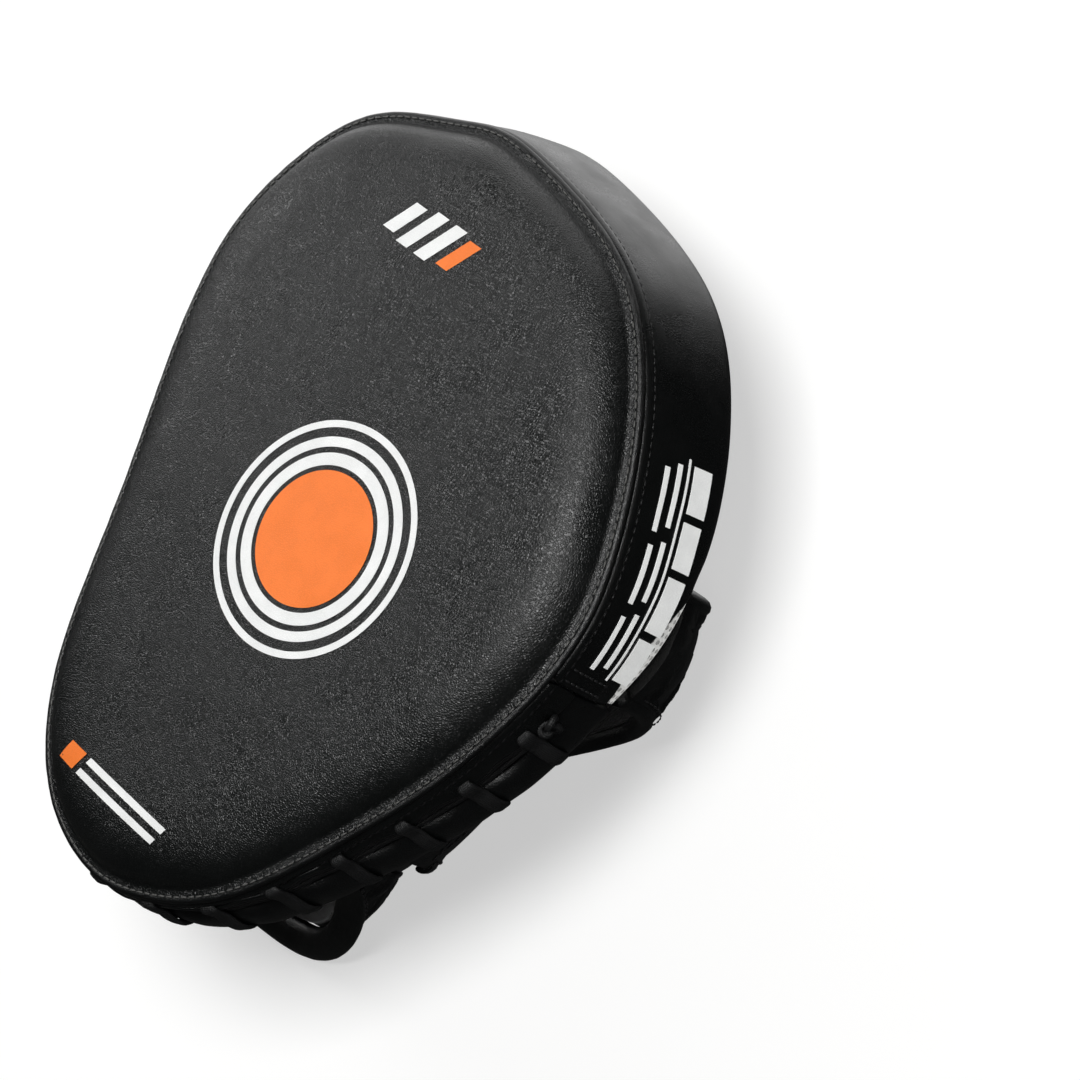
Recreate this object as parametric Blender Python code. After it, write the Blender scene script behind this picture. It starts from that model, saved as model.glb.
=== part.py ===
"""Focus mitt for boxing and martial arts, right hand.

It lies on its glove side with the strike face up: X across the face, Y along the hand
with the fingers at +Y, Z up. Lengths are in millimetres until mesh data is written.
The design frame has its origin at the target centre on the strike face; the root
empty then lifts everything so that the lowest point is at Z = 0.
"""

import math

import bmesh
import bpy
import numpy as np

MM = 0.001

# ---------------------------------------------------------------- driving dimensions

# Seam line of the strike face, counter-clockwise seen from the face.
SEAM_POINTS = (
    (-20, 138.3), (-50, 134.5), (-86, 119.5), (-107, 80), (-107.3, 40.4), (-92.5, -19.5),
    (-77.1, -81.3), (-53, -115), (-20, -128.3), (10.7, -121.8), (36, -104.2), (63.3, -67.2),
    (82.8, -33), (95.3, 8), (92.5, 42), (71, 88.6), (37, 121.8),
)
SMOOTHING_LENGTH = 14.0
STATIONS = 60

SEAM_Z = -12.0
BACK_Z_WRIST = -42.0
BACK_SLOPE = 0.06
WRIST_Y = -125.0
GUSSET_FLARE = 8.5
GUSSET_END_Y = 3.0
FLOOR_Z = -104.5

GAP = 0.35
LEATHER = 1.8

LACE_RADIUS = 1.5
LACE_Z = (-22.6, -27.0)
LACE_WRAPS = 14

TARGET_RADIUS = 38.6
RING_EDGES = ((0.62, 0.725), (0.775, 0.86), (0.94, 1.0))
DISC_EDGE = 0.578

HOOD_MOUTH_Y = -34.0
HOOD_SHELL = 4.0
STRAP_Y = (-76.0, -31.0)
STRAP_OFFSET = (2.5, 5.0)
STRAP_HINGE_ANGLE = 24.0
ANGLE_STEP = 4.5
CUFF_HINGE_Y = -80.0
CUFF_THICKNESS = 8.0
CUFF_SIDE_Y = -88.0
CUFF_EDGE_Y = -127.0
CUFF_FLARE = 11.0
THUMB_LOOP_Y = (-28.0, 44.0)
THUMB_LOOP_SLANT = 34.0
THUMB_LOOP_ROOT_X = 56.0
THUMB_LOOP_HEIGHT = 42.0
THUMB_LOOP_SQUARENESS = 0.65

# ---------------------------------------------------------------- scene and materials


def clear_scene():
    for obj in list(bpy.data.objects):
        bpy.data.objects.remove(obj, do_unlink=True)


def material(name, colour, roughness, metallic=0.0):
    made = bpy.data.materials.new(name)
    made.use_nodes = True
    shader = made.node_tree.nodes["Principled BSDF"]
    shader.inputs["Base Color"].default_value = (*colour, 1.0)
    shader.inputs["Roughness"].default_value = roughness
    shader.inputs["Metallic"].default_value = metallic
    return made


def empty(name, location=(0, 0, 0), parent=None):
    """An empty at a place in the design frame. It marks a body, or a joint's axis."""
    made = bpy.data.objects.new(name, None)
    bpy.context.scene.collection.objects.link(made)
    made.parent = parent
    made.location = [v * MM for v in location]
    return made


def finish_mesh(name, mesh, look, parent):
    """Gives a mesh made in the design frame an object whose origin is its parent's."""
    offset = parent.location if parent.parent else (0, 0, 0)
    for vertex in mesh.vertices:
        vertex.co = [c * MM - o for c, o in zip(vertex.co, offset)]
    mesh.materials.append(look)
    mesh.shade_smooth()
    mesh.set_sharp_from_angle(angle=math.radians(40))
    made = bpy.data.objects.new(name, mesh)
    bpy.context.scene.collection.objects.link(made)
    made.parent = parent
    return made


def mesh_from(name, points, faces):
    mesh = bpy.data.meshes.new(name)
    mesh.from_pydata(points, [], faces)
    work = bmesh.new()
    work.from_mesh(mesh)
    bmesh.ops.recalc_face_normals(work, faces=work.faces)
    work.to_mesh(mesh)
    work.free()
    return mesh


def sheet(name, outer, inner, look, parent, closed=False):
    """A solid between two grids of points. With closed, its rows run round a ring."""
    rows = len(outer)
    columns = len(outer[0])
    points = [p for grid in (outer, inner) for row in grid for p in row]

    def at(side, row, column):
        return side * rows * columns + (row % rows) * columns + column

    faces = []
    row_steps = range(rows if closed else rows - 1)
    for side in (0, 1):
        for i in row_steps:
            for j in range(columns - 1):
                faces.append([at(side, i, j), at(side, i + 1, j), at(side, i + 1, j + 1), at(side, i, j + 1)])
    for i in row_steps:
        for j in (0, columns - 1):
            faces.append([at(0, i, j), at(0, i + 1, j), at(1, i + 1, j), at(1, i, j)])
    if not closed:
        for i in (0, rows - 1):
            for j in range(columns - 1):
                faces.append([at(0, i, j), at(0, i, j + 1), at(1, i, j + 1), at(1, i, j)])
    return finish_mesh(name, mesh_from(name, points, faces), look, parent)


def stack(name, loops, look, parent, ring=False):
    """A solid from closed loops of points, one above the next. With ring, the last joins the first."""
    count = len(loops[0])
    points = [p for loop in loops for p in loop]
    faces = []
    for i in range(len(loops) if ring else len(loops) - 1):
        low = i * count
        high = ((i + 1) % len(loops)) * count
        for j in range(count):
            k = (j + 1) % count
            faces.append([low + j, low + k, high + k, high + j])
    if not ring:
        faces.append(list(range(count)))
        faces.append(list(range((len(loops) - 1) * count, len(loops) * count)))
    return finish_mesh(name, mesh_from(name, points, faces), look, parent)


def block(name, centre, size, look, parent, bevel=1.0, turn=0.0):
    """A small bevelled block, turned about Z by degrees and lying along the back panel's slope."""
    work = bmesh.new()
    bmesh.ops.create_cube(work, size=1.0)
    for vertex in work.verts:
        vertex.co = [c * s for c, s in zip(vertex.co, size)]
    bmesh.ops.bevel(work, geom=work.edges[:], offset=bevel, segments=2, profile=0.5, affect="EDGES")
    cos_turn = math.cos(math.radians(turn))
    sin_turn = math.sin(math.radians(turn))
    for vertex in work.verts:
        x, y, z = vertex.co
        across = x * cos_turn - y * sin_turn
        along = x * sin_turn + y * cos_turn
        vertex.co = (centre[0] + across, centre[1] + along, centre[2] + z - BACK_SLOPE * along)
    mesh = bpy.data.meshes.new(name)
    work.to_mesh(mesh)
    work.free()
    return finish_mesh(name, mesh, look, parent)


# ---------------------------------------------------------------- outline of the mitt


def smoothed_outline(count):
    """Evenly spaced (points, outward normals) on the closed seam line."""
    knots = np.array(SEAM_POINTS, float)
    dense = []
    for i in range(len(knots)):
        p0, p1, p2, p3 = (knots[(i + k) % len(knots)] for k in (-1, 0, 1, 2))
        for t in np.linspace(0, 1, 40, endpoint=False):
            dense.append(
                0.5 * (2 * p1 + (p2 - p0) * t + (2 * p0 - 5 * p1 + 4 * p2 - p3) * t**2
                       + (3 * p1 - p0 - 3 * p2 + p3) * t**3)
            )
    points, length = evenly(np.array(dense), 720)
    reach = int(SMOOTHING_LENGTH / length * 720)
    weights = 1 + np.cos(np.linspace(-math.pi, math.pi, 2 * reach + 1))
    weights /= weights.sum()
    points = sum(w * np.roll(points, k, axis=0) for k, w in zip(range(-reach, reach + 1), weights))
    points, length = evenly(points, count)
    tangent = np.roll(points, -1, axis=0) - np.roll(points, 1, axis=0)
    tangent /= np.linalg.norm(tangent, axis=1)[:, None]
    return points, np.stack([tangent[:, 1], -tangent[:, 0]], axis=1), length


def evenly(points, count):
    """A closed polyline's points again, evenly spaced, and its length."""
    steps = np.linalg.norm(np.roll(points, -1, axis=0) - points, axis=1)
    travelled = np.concatenate([[0], np.cumsum(steps)])
    wanted = np.linspace(0, travelled[-1], count, endpoint=False)
    closed = np.concatenate([points, points[:1]])
    return np.stack([np.interp(wanted, travelled, closed[:, k]) for k in (0, 1)], axis=1), travelled[-1]


def ease(value, low, high):
    """0 at low, 1 at high, smooth between and flat beyond."""
    t = min(max((value - low) / (high - low), 0.0), 1.0)
    return t * t * (3 - 2 * t)


def through(value, knots):
    """A smooth run through (place, height) knots that doesn't overshoot them."""
    slopes = [(b[1] - a[1]) / (b[0] - a[0]) for a, b in zip(knots, knots[1:])]
    at_knots = [0.0]
    for before, after in zip(slopes, slopes[1:]):
        at_knots.append(2 * before * after / (before + after) if before * after > 0 else 0.0)
    at_knots.append(0.0)
    for k, ((x0, y0), (x1, y1)) in enumerate(zip(knots, knots[1:])):
        if value <= x1 or k == len(slopes) - 1:
            width = x1 - x0
            t = min(max((value - x0) / width, 0.0), 1.0)
            rise = ease(t, 0, 1)
            pull = at_knots[k] * t * (1 - t) ** 2 - at_knots[k + 1] * t * t * (1 - t)
            return y0 + (y1 - y0) * rise + width * pull


def back_z(y):
    """Height of the back panel's outer face, which slopes: the mitt is thicker at the fingers."""
    return BACK_Z_WRIST - BACK_SLOPE * (y - WRIST_Y)


def flare(y, z):
    """How far the side wall stands out beyond the seam: nothing at the seam and at the wrist half."""
    depth = (SEAM_Z - z) / (SEAM_Z - back_z(y))
    return GUSSET_FLARE * ease(y, -10, 70) * min(max(depth, 0.0), 1.1)


def wall_loop(inset, z, count=STATIONS, follows_back=False):
    """A closed loop round the mitt, inset from the side wall. z is a height, or a depth below the back."""
    points, normals, _ = smoothed_outline(count)
    loop = []
    for (x, y), (nx, ny) in zip(points, normals):
        away = flare(y, back_z(y) + z if follows_back else z) - inset
        moved_y = y + ny * away
        loop.append((x + nx * away, moved_y, back_z(moved_y) + z if follows_back else z))
    return loop


def wall_path(first_y, first_side, last_y, last_side, by_wrist, count):
    """Stations along the seam between two places, each given by its y and its side (+1 thumb, -1 outer)."""
    points, normals, _ = smoothed_outline(720)

    def index_at(y, side):
        near = [i for i in range(720) if points[i][0] * side > 20]
        return min(near, key=lambda i: abs(points[i][1] - y))

    first = index_at(first_y, first_side)
    last = index_at(last_y, last_side)
    turns = -1 if by_wrist else 1
    span = (last - first) * turns % 720
    chosen = [int(round(first + turns * span * k / (count - 1))) % 720 for k in range(count)]
    return [(points[i], normals[i]) for i in chosen]


def wall_row(station, profile):
    """Profile points (offset outward, height) placed at a station; the low ones follow the back's slope."""
    (x, y), (nx, ny) = station
    row = []
    for offset, z in profile(y):
        away = offset + flare(y, z)
        share = ease(z, SEAM_Z, back_z(y) + 3)
        row.append((x + nx * away, y + ny * away, z - share * BACK_SLOPE * ny * away))
    return row


def wall_band(name, stations, outer, inner, look, parent):
    """A solid along the wall, between an outer and an inner profile, each a function of y."""
    return sheet(
        name,
        [wall_row(s, outer) for s in stations],
        [wall_row(s, inner) for s in stations],
        look,
        parent,
    )


# ---------------------------------------------------------------- dome over the hand

DOME_HALF_WIDTH = ((-132, 44), (-86, 50), (-55, 59), (-20, 64), (30, 68), (75, 68), (104, 56), (120, 42))
DOME_TOP_Z = ((-132, -95), (38, -95), (82, -86), (104, -73), (120, -62))
HOOD_PADDING = ((-30, 0), (-14, 11.5), (38, 11.5), (84, 2), (110, 0))
DOME_SQUARENESS = 0.75


def dome_point(angle, y, offset=0.0):
    """On the arch over the hand at a place along it: 0 degrees at the thumb side's base, 180 at the other."""
    cos_a = math.cos(math.radians(angle))
    sin_a = max(math.sin(math.radians(angle)), 0.0)
    centre = -3.0 - 0.0009 * (y + 10) ** 2
    half_width = through(y, DOME_HALF_WIDTH) + offset
    base = back_z(y) - GAP
    height = base - through(y, DOME_TOP_Z) + offset
    x = centre + half_width * math.copysign(abs(cos_a) ** DOME_SQUARENESS, cos_a)
    return x, y, max(base - height * sin_a**DOME_SQUARENESS, FLOOR_Z)


def spread(low, high, count):
    return [low + (high - low) * k / (count - 1) for k in range(count)]


def dome_sheet(name, angles, ys, outer, inner, look, parent):
    """A curved sheet on the dome. outer and inner are offsets, or functions of (angle, y)."""

    def grid(offset):
        return [
            [dome_point(a, y, offset(a, y) if callable(offset) else offset) for a in angles] for y in ys
        ]

    return sheet(name, grid(outer), grid(inner), look, parent)


# ---------------------------------------------------------------- the padded body


def make_padding(root, looks):
    face_profile = ((20, 0), (13.5, -0.9), (8.8, -2.8), (4.9, -5.7), (2.3, -9.0), (1.6, -11.4))
    face_under = ((3.5, -11.4), (4.2, -9.4), (6.5, -6.9), (9.9, -4.5), (14.2, -2.7), (20, -LEATHER))
    top = [wall_loop(inset, z) for inset, z in face_profile + face_under]
    stack("strike_face", top, looks["leather"], root)

    foam = ((19, -2.5), (14.5, -3.3), (10.5, -5.2), (7.2, -7.6), (4.9, -10), (4.4, -14))
    stack("face_foam", [wall_loop(inset, z) for inset, z in foam], looks["foam"], root)
    core = [wall_loop(4.4, -14.4), wall_loop(4.4, -27.0)]
    stack("core_foam", core, looks["foam"], root)
    back = [wall_loop(5.6, -27.4), wall_loop(5.6, 2.6, follows_back=True)]
    stack("back_foam", back, looks["soft_foam"], root)
    panel = [wall_loop(5.6, 2.2, follows_back=True), wall_loop(5.6, 0.0, follows_back=True)]
    stack("back_panel", panel, looks["suede"], root)

    welt = []
    for k in range(6):
        angle = math.tau * k / 6
        welt.append(wall_loop(0.9 - 1.3 * math.cos(angle), SEAM_Z - 1.0 + 1.2 * math.sin(angle)))
    stack("seam_welt", welt, looks["leather"], root, ring=True)


def make_target(root, looks):
    """The printed target: a disc and three rings of thin film on the flat of the face."""

    def circle(radius, z, sides=40):
        turns = [math.tau * k / sides for k in range(sides)]
        return [(radius * math.cos(a), radius * math.sin(a), z) for a in turns]

    low, high = 0.3, 0.6
    disc = DISC_EDGE * TARGET_RADIUS
    stack("target_disc", [circle(disc, low), circle(disc, high)], looks["print_orange"], root)
    for name, (inner, outer) in zip(("inner", "middle", "outer"), RING_EDGES):
        a, b = inner * TARGET_RADIUS, outer * TARGET_RADIUS
        loops = [circle(a, low), circle(b, low), circle(b, high), circle(a, high)]
        stack(f"target_ring_{name}", loops, looks["print_white"], root, ring=True)


def make_gusset(root, looks):
    top = SEAM_Z - 2.6
    stations = wall_path(GUSSET_END_Y, 1, GUSSET_END_Y, -1, by_wrist=False, count=34)

    def outer(y):
        low = back_z(y) + 1.5
        bulges = ((0, 0), (0.3, 0.8), (0.65, 0.9), (1, 0.2))
        return [(0.3 + bulge, top + (low - top) * t) for t, bulge in bulges]

    def inner(y):
        return [(offset - LEATHER - 1.2, z) for offset, z in outer(y)]

    wall_band("gusset_band", stations, outer, inner, looks["leather"], root)

    loops = []
    for station in wall_path(GUSSET_END_Y + 6, 1, GUSSET_END_Y + 6, -1, by_wrist=False, count=34):
        y = station[0][1]
        turns = [math.tau * k / 6 for k in range(6)]
        centre = back_z(y) - 1.2
        section = [(-1.0 + 2.2 * math.cos(a), centre + 2.2 * math.sin(a)) for a in turns]
        loops.append(wall_row(station, lambda y: section))
    stack("gusset_rim", loops, looks["leather"], root)

    for name, side in (("lap_strip_thumb", 1), ("lap_strip_outer", -1)):
        ends = wall_path(GUSSET_END_Y + 10, side, GUSSET_END_Y + 0.4, side, by_wrist=side > 0, count=4)
        wall_band(
            name,
            ends,
            lambda y: [(offset + 1.6, z) for offset, z in outer(y)],
            lambda y: [(offset + GAP + 0.05, z) for offset, z in outer(y)],
            looks["leather"],
            root,
        )


# ---------------------------------------------------------------- the laced wall


def laced_stations(count, start=GUSSET_END_Y - 0.6):
    return wall_path(start, 1, start, -1, by_wrist=True, count=count)


def make_skirts(root, looks):
    top = SEAM_Z - 2.6
    stations = laced_stations(34)
    wall_band(
        "front_skirt",
        stations,
        lambda y: [(0.2, top), (0.4, -17.5), (-0.2, -19.6), (-2.6, -20.4), (-2.6, -31.0)],
        lambda y: [(-3.9, top), (-3.9, -17.5), (-3.9, -19.6), (-3.95, -21.0), (-3.95, -31.0)],
        looks["leather"],
        root,
    )

    def outer(y):
        low = back_z(y) - GAP
        edge = -15.5 + 1.2 * math.sin(y / 5.5)
        above = [(-2.2, -31.4), (0.9, -31.6), (2.2, -35.5)]
        return above + [(1.5, low - 0.6), (-2.0, low - 1.9), (edge, low - 1.7)]

    def inner(y):
        low = back_z(y) - GAP
        edge = -15.5 + 1.2 * math.sin(y / 5.5)
        above = [(-3.9, -33.4), (-1.6, -33.6), (0.2, -36.0)]
        return above + [(-0.3, low + 0.2), (-2.6, low - 0.05), (edge, low - 0.05)]

    wall_band("back_skirt", stations, outer, inner, looks["leather"], root)


def make_lace(root, looks):
    stations = laced_stations(44, GUSSET_END_Y - 9)
    turns = [math.tau * k / 6 for k in range(6)]
    for name, z in zip(("lace_front", "lace_rear"), LACE_Z):
        ring = [(-0.7 + LACE_RADIUS * math.cos(a), z + LACE_RADIUS * math.sin(a)) for a in turns]
        stack(name, [wall_row(s, lambda y: ring) for s in stations], looks["lace"], root)

    outer = [(0.9, -18.4), (2.3, -20.2), (2.6, -24.5), (3.6, -30.5), (4.1, -35.6)]
    inner = [(0.8, -18.9), (1.25, -20.6), (1.3, -24.5), (2.0, -30.2), (2.75, -35.4)]
    fine = laced_stations(421, GUSSET_END_Y - 12)
    for k in range(LACE_WRAPS):
        middle = int(10 + 400 * k / (LACE_WRAPS - 1))
        half = 4
        chosen = [fine[middle - half], fine[middle], fine[middle + half]]
        wall_band(f"lace_wrap_{k + 1:02d}", chosen, lambda y: outer, lambda y: inner, looks["lace"], root)

    stations = laced_stations(60)
    for name, station in (("lace_knot_thumb", stations[2]), ("lace_knot_outer", stations[-3])):
        (x, y), (nx, ny) = station
        centre = (x + nx * 2.4, y + ny * 2.4, -24.8)
        work = bmesh.new()
        bmesh.ops.create_icosphere(work, subdivisions=2, radius=1.0)
        for vertex in work.verts:
            vertex.co = [c + v * r for c, v, r in zip(centre, vertex.co, (1.9, 4.2, 3.6))]
        mesh = bpy.data.meshes.new(name)
        work.to_mesh(mesh)
        work.free()
        finish_mesh(name, mesh, looks["lace"], root)


# ---------------------------------------------------------------- the glove side


def hood_outer(angle, y):
    side = ease(angle, 30, 52) * (1 - ease(angle, 128, 150))
    return through(y, HOOD_PADDING) * side


def make_hood(root, looks):
    ys = [-34, -28, -21, -14, 0, 12, 25, 38, 52, 66, 80, 92, 103, 111, 118]
    dome_sheet("hood_cover", spread(30, 150, 15), ys, hood_outer, -HOOD_SHELL, looks["leather"], root)
    dome_sheet("hood_side_thumb", spread(0, 29.3, 4), ys, -0.3, -3.3, looks["mesh_white"], root)
    dome_sheet("hood_side_outer", spread(150.7, 180, 4), ys, -0.3, -3.3, looks["leather"], root)
    lining_ys = [y for y in ys if y < 95]
    lining = (-HOOD_SHELL - GAP, -HOOD_SHELL - 1.4)
    dome_sheet("hood_lining", spread(30, 150, 15), lining_ys, *lining, looks["suede"], root)
    edge = (HOOD_MOUTH_Y - 4, HOOD_MOUTH_Y - GAP)
    dome_sheet("hood_binding", spread(3, 177, 15), edge, 0.0, -HOOD_SHELL - 0.6, looks["binding"], root)

    palm_ys = spread(-32, 6, 7)
    rows = []
    for y in palm_ys:
        rise = 11 * math.sin(math.pi * (y + 34) / 42) ** 0.6
        base = back_z(y) - GAP
        xs = spread(-38, 30, 7)
        rows.append([(x, y, base - rise * (1 - ((x + 4) / 38) ** 4) - 0.8) for x in xs])
    flat = [[(x, y, back_z(y) - GAP) for x, y, _ in row] for row in rows]
    sheet("palm_pad", rows, flat, looks["suede"], root)


def make_thumb_loop(root, looks):
    """A padded arch over the thumb, from the hood's shoulder to the wall. Its mouth is cut on the slant."""
    outline = wall_loop(0, LACE_Z[0], 360)

    def arch_point(share, angle, offset):
        cos_a = math.cos(math.radians(angle)) ** THUMB_LOOP_SQUARENESS
        sin_a = math.sin(math.radians(angle)) ** THUMB_LOOP_SQUARENESS
        mouth_y = THUMB_LOOP_Y[0] + THUMB_LOOP_SLANT * cos_a
        y = mouth_y + (THUMB_LOOP_Y[1] - mouth_y) * share
        side_x = max(p[0] for p in outline if abs(p[1] - y) < 3)
        wide = side_x - 1.5 - THUMB_LOOP_ROOT_X + offset
        high = THUMB_LOOP_HEIGHT * (1 - ((y - 8) / 75) ** 2) + offset
        return THUMB_LOOP_ROOT_X + wide * cos_a, y, back_z(y) - GAP - high * sin_a

    def grid(offset):
        return [[arch_point(share, a, offset) for a in spread(3, 86, 11)] for share in spread(0, 1, 7)]

    sheet("thumb_loop", grid(0), grid(-4.6), looks["leather"], root)
    sheet("thumb_loop_lining", grid(-4.95), grid(-6.0), looks["mesh_black"], root)


def make_strap(root, hinge, looks):
    low, high = STRAP_OFFSET
    rear, front = STRAP_Y
    middle_ys = spread(rear + 3, front - 3, 5)

    def steps(first, last):
        """Angles that fall on the strap's own columns, so that layers on it lie parallel."""
        return [STRAP_HINGE_ANGLE + ANGLE_STEP * k for k in range(first, last + 1)]

    wing = steps(23, 34) + [179.0]
    dome_sheet("outer_wing", wing, spread(-72, -39, 5), -0.7, -3.4, looks["leather"], root)
    dome_sheet("strap_loop_pad", steps(24, 30), spread(-68, -44, 4), 0.9, -0.35, looks["hook_loop"], root)
    anchor = spread(2, STRAP_HINGE_ANGLE - 1, 4)
    dome_sheet("strap_anchor", anchor, spread(-73, -34, 5), high, 1.2, looks["leather"], root)

    angles = steps(0, 28)
    dome_sheet("hand_strap", angles, middle_ys, high, low, looks["leather"], hinge)
    for name, edge in (
        ("strap_binding_rear", (rear, rear + 3 - GAP)),
        ("strap_binding_front", (front - 3 + GAP, front)),
    ):
        dome_sheet(name, angles, edge, high + 0.5, low - 0.3, looks["binding"], hinge)
    patch_ys = spread(-69.5, -37.5, 4)
    dome_sheet("strap_patch", steps(9, 20), patch_ys, high + 2.4, high + GAP, looks["rubber"], hinge)
    rows = spread(-66, -46, 3)
    dome_sheet("strap_hook_pad", steps(24, 28), rows, low - GAP, 1.25, looks["hook_loop"], hinge)


def cuff_edge_y(angle):
    return CUFF_SIDE_Y + (CUFF_EDGE_Y - CUFF_SIDE_Y) * math.sin(math.radians(angle)) ** 1.3


def make_cuff(root, hinge, looks):
    root_ys = (CUFF_HINGE_Y + 0.6, CUFF_HINGE_Y + 8)
    angles = spread(6, 174, 17)

    def shaped(near, far, outer, inner, steps):
        """Grids from near to far along the cuff, each a fraction of the way to its free edge."""

        def grid(offset):
            rows = []
            for k in range(steps):
                t = near + (far - near) * k / (steps - 1)
                row = []
                for a in angles:
                    y = CUFF_HINGE_Y + (cuff_edge_y(a) - CUFF_HINGE_Y) * t
                    away = CUFF_FLARE * t * t * math.sin(math.radians(a)) ** 2
                    row.append(dome_point(a, y, offset + away))
                rows.append(row)
            return rows

        return grid(outer), grid(inner)

    dome_sheet("cuff_root", angles, root_ys, 0.0, -CUFF_THICKNESS, looks["leather"], root)
    sheet("cuff_pad", *shaped(0.0, 0.9, 0.0, -CUFF_THICKNESS, 6), looks["leather"], hinge)
    sheet("cuff_binding", *shaped(0.91, 1.0, 0.4, -CUFF_THICKNESS - 0.4, 2), looks["binding"], hinge)
    lining = shaped(0.05, 0.9, -CUFF_THICKNESS - GAP, -CUFF_THICKNESS - 1.5, 5)
    sheet("cuff_lining", *lining, looks["suede"], hinge)
    for name, angle in (("cuff_tab_thumb", 1), ("cuff_tab_outer", 179)):
        x, y, z = dome_point(angle, CUFF_SIDE_Y + 3, -3)
        turn = -60 if angle < 90 else 60
        block(name, (x, y, z - 1.0), (13, 9, 1.8), looks["binding"], root, bevel=0.5, turn=turn)


def lift_to_floor(root):
    """Puts the middle of the whole mitt's footprint, at its lowest point, at the world's origin."""
    bpy.context.view_layer.update()
    corners = []
    for obj in bpy.data.objects:
        if obj.type == "MESH":
            corners += [obj.matrix_world @ vertex.co for vertex in obj.data.vertices]
    low = [min(c[k] for c in corners) for k in range(3)]
    high = [max(c[k] for c in corners) for k in range(3)]
    root.location = (-(low[0] + high[0]) / 2, -(low[1] + high[1]) / 2, -low[2])


def main():
    clear_scene()
    looks = {
        "leather": material("leather_black", (0.022, 0.022, 0.024), 0.42),
        "suede": material("suede_black", (0.012, 0.012, 0.013), 0.95),
        "binding": material("binding_black", (0.02, 0.021, 0.022), 0.5),
        "rubber": material("rubber_black", (0.03, 0.03, 0.03), 0.7),
        "lace": material("lace_black", (0.015, 0.016, 0.018), 0.8),
        "hook_loop": material("hook_loop_black", (0.01, 0.01, 0.01), 1.0),
        "foam": material("foam_grey", (0.2, 0.2, 0.21), 0.9),
        "soft_foam": material("foam_pale", (0.45, 0.44, 0.42), 0.9),
        "mesh_white": material("mesh_white", (0.8, 0.8, 0.79), 0.8),
        "mesh_black": material("mesh_black", (0.02, 0.02, 0.02), 0.9),
        "print_orange": material("print_orange", (0.96, 0.27, 0.07), 0.5),
        "print_white": material("print_white", (0.9, 0.9, 0.9), 0.5),
    }
    root = empty("mitt")
    strap_hinge = empty("strap_hinge", dome_point(STRAP_HINGE_ANGLE, -53, STRAP_OFFSET[1]), root)
    cuff_hinge = empty("cuff_hinge", dome_point(90, CUFF_HINGE_Y), root)
    make_padding(root, looks)
    make_target(root, looks)
    make_gusset(root, looks)
    make_skirts(root, looks)
    make_lace(root, looks)
    make_hood(root, looks)
    make_thumb_loop(root, looks)
    make_strap(root, strap_hinge, looks)
    make_cuff(root, cuff_hinge, looks)
    lift_to_floor(root)


main()
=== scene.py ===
"""Looks of the focus mitt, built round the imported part.

Shapes are worked out in millimetres in the part's own design frame, whose origin is the
target's centre on the strike face (X across the face, Y to the fingers, Z out of the face),
and written in metres in the row frame.
"""

import math
import random

import bpy
import numpy as np
from mathutils import Matrix, Vector, noise


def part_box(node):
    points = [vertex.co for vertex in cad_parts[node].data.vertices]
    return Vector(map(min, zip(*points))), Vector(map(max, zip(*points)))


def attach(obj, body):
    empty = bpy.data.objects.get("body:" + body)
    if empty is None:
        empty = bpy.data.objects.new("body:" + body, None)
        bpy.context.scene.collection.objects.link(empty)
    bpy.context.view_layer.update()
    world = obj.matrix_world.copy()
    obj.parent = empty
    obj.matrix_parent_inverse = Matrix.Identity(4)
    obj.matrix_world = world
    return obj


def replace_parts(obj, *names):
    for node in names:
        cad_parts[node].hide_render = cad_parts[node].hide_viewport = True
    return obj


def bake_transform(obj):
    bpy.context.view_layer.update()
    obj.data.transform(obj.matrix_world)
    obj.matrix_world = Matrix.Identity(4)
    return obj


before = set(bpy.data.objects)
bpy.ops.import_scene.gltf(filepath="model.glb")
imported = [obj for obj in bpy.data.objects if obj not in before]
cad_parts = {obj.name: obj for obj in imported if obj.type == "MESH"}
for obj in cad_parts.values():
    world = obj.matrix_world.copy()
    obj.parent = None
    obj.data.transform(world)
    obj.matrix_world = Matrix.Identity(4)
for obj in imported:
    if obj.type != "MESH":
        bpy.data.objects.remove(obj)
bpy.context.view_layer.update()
MM = 0.001
_low, _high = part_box("target_disc")
PRINT_TOP = 0.6
ORIGIN = np.array(((_low.x + _high.x) / 2, (_low.y + _high.y) / 2, _high.z - PRINT_TOP * MM))

# ---------------------------------------------------------------- the part's own dimensions

SEAM_POINTS = (
    (-20, 138.3), (-50, 134.5), (-86, 119.5), (-107, 80), (-107.3, 40.4), (-92.5, -19.5),
    (-77.1, -81.3), (-53, -115), (-20, -128.3), (10.7, -121.8), (36, -104.2), (63.3, -67.2),
    (82.8, -33), (95.3, 8), (92.5, 42), (71, 88.6), (37, 121.8),
)
SMOOTHING_LENGTH = 14.0
SEAM_SAMPLES = 1440
SEAM_Z = -12.0
BACK_Z_WRIST = -42.0
BACK_SLOPE = 0.06
WRIST_Y = -125.0
GUSSET_FLARE = 8.5
GUSSET_END_Y = 3.0
FLOOR_Z = -104.5
TARGET_RADIUS = 38.6
RING_EDGES = ((0.62, 0.725), (0.775, 0.86), (0.94, 1.0))
DISC_EDGE = 0.578
LACE_WRAPS = 14
GAP = 0.35
STRAP_HINGE_ANGLE = 24.0
STRAP_Y = (-76.0, -31.0)
CUFF_HINGE_Y = -80.0
CUFF_SIDE_Y = -88.0
CUFF_EDGE_Y = -127.0
DOME_HALF_WIDTH = (
    (-132, 44), (-86, 50), (-55, 59), (-20, 64), (30, 68), (75, 68), (104, 56), (120, 42), (134, 22),
)
DOME_TOP_Z = ((-132, -95), (38, -95), (82, -86), (104, -73), (120, -63), (134, -58.6))
HOOD_PADDING = ((-30, 0), (-14, 11.5), (38, 11.5), (84, 2), (110, 0))
DOME_SQUARENESS = 0.75


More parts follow.
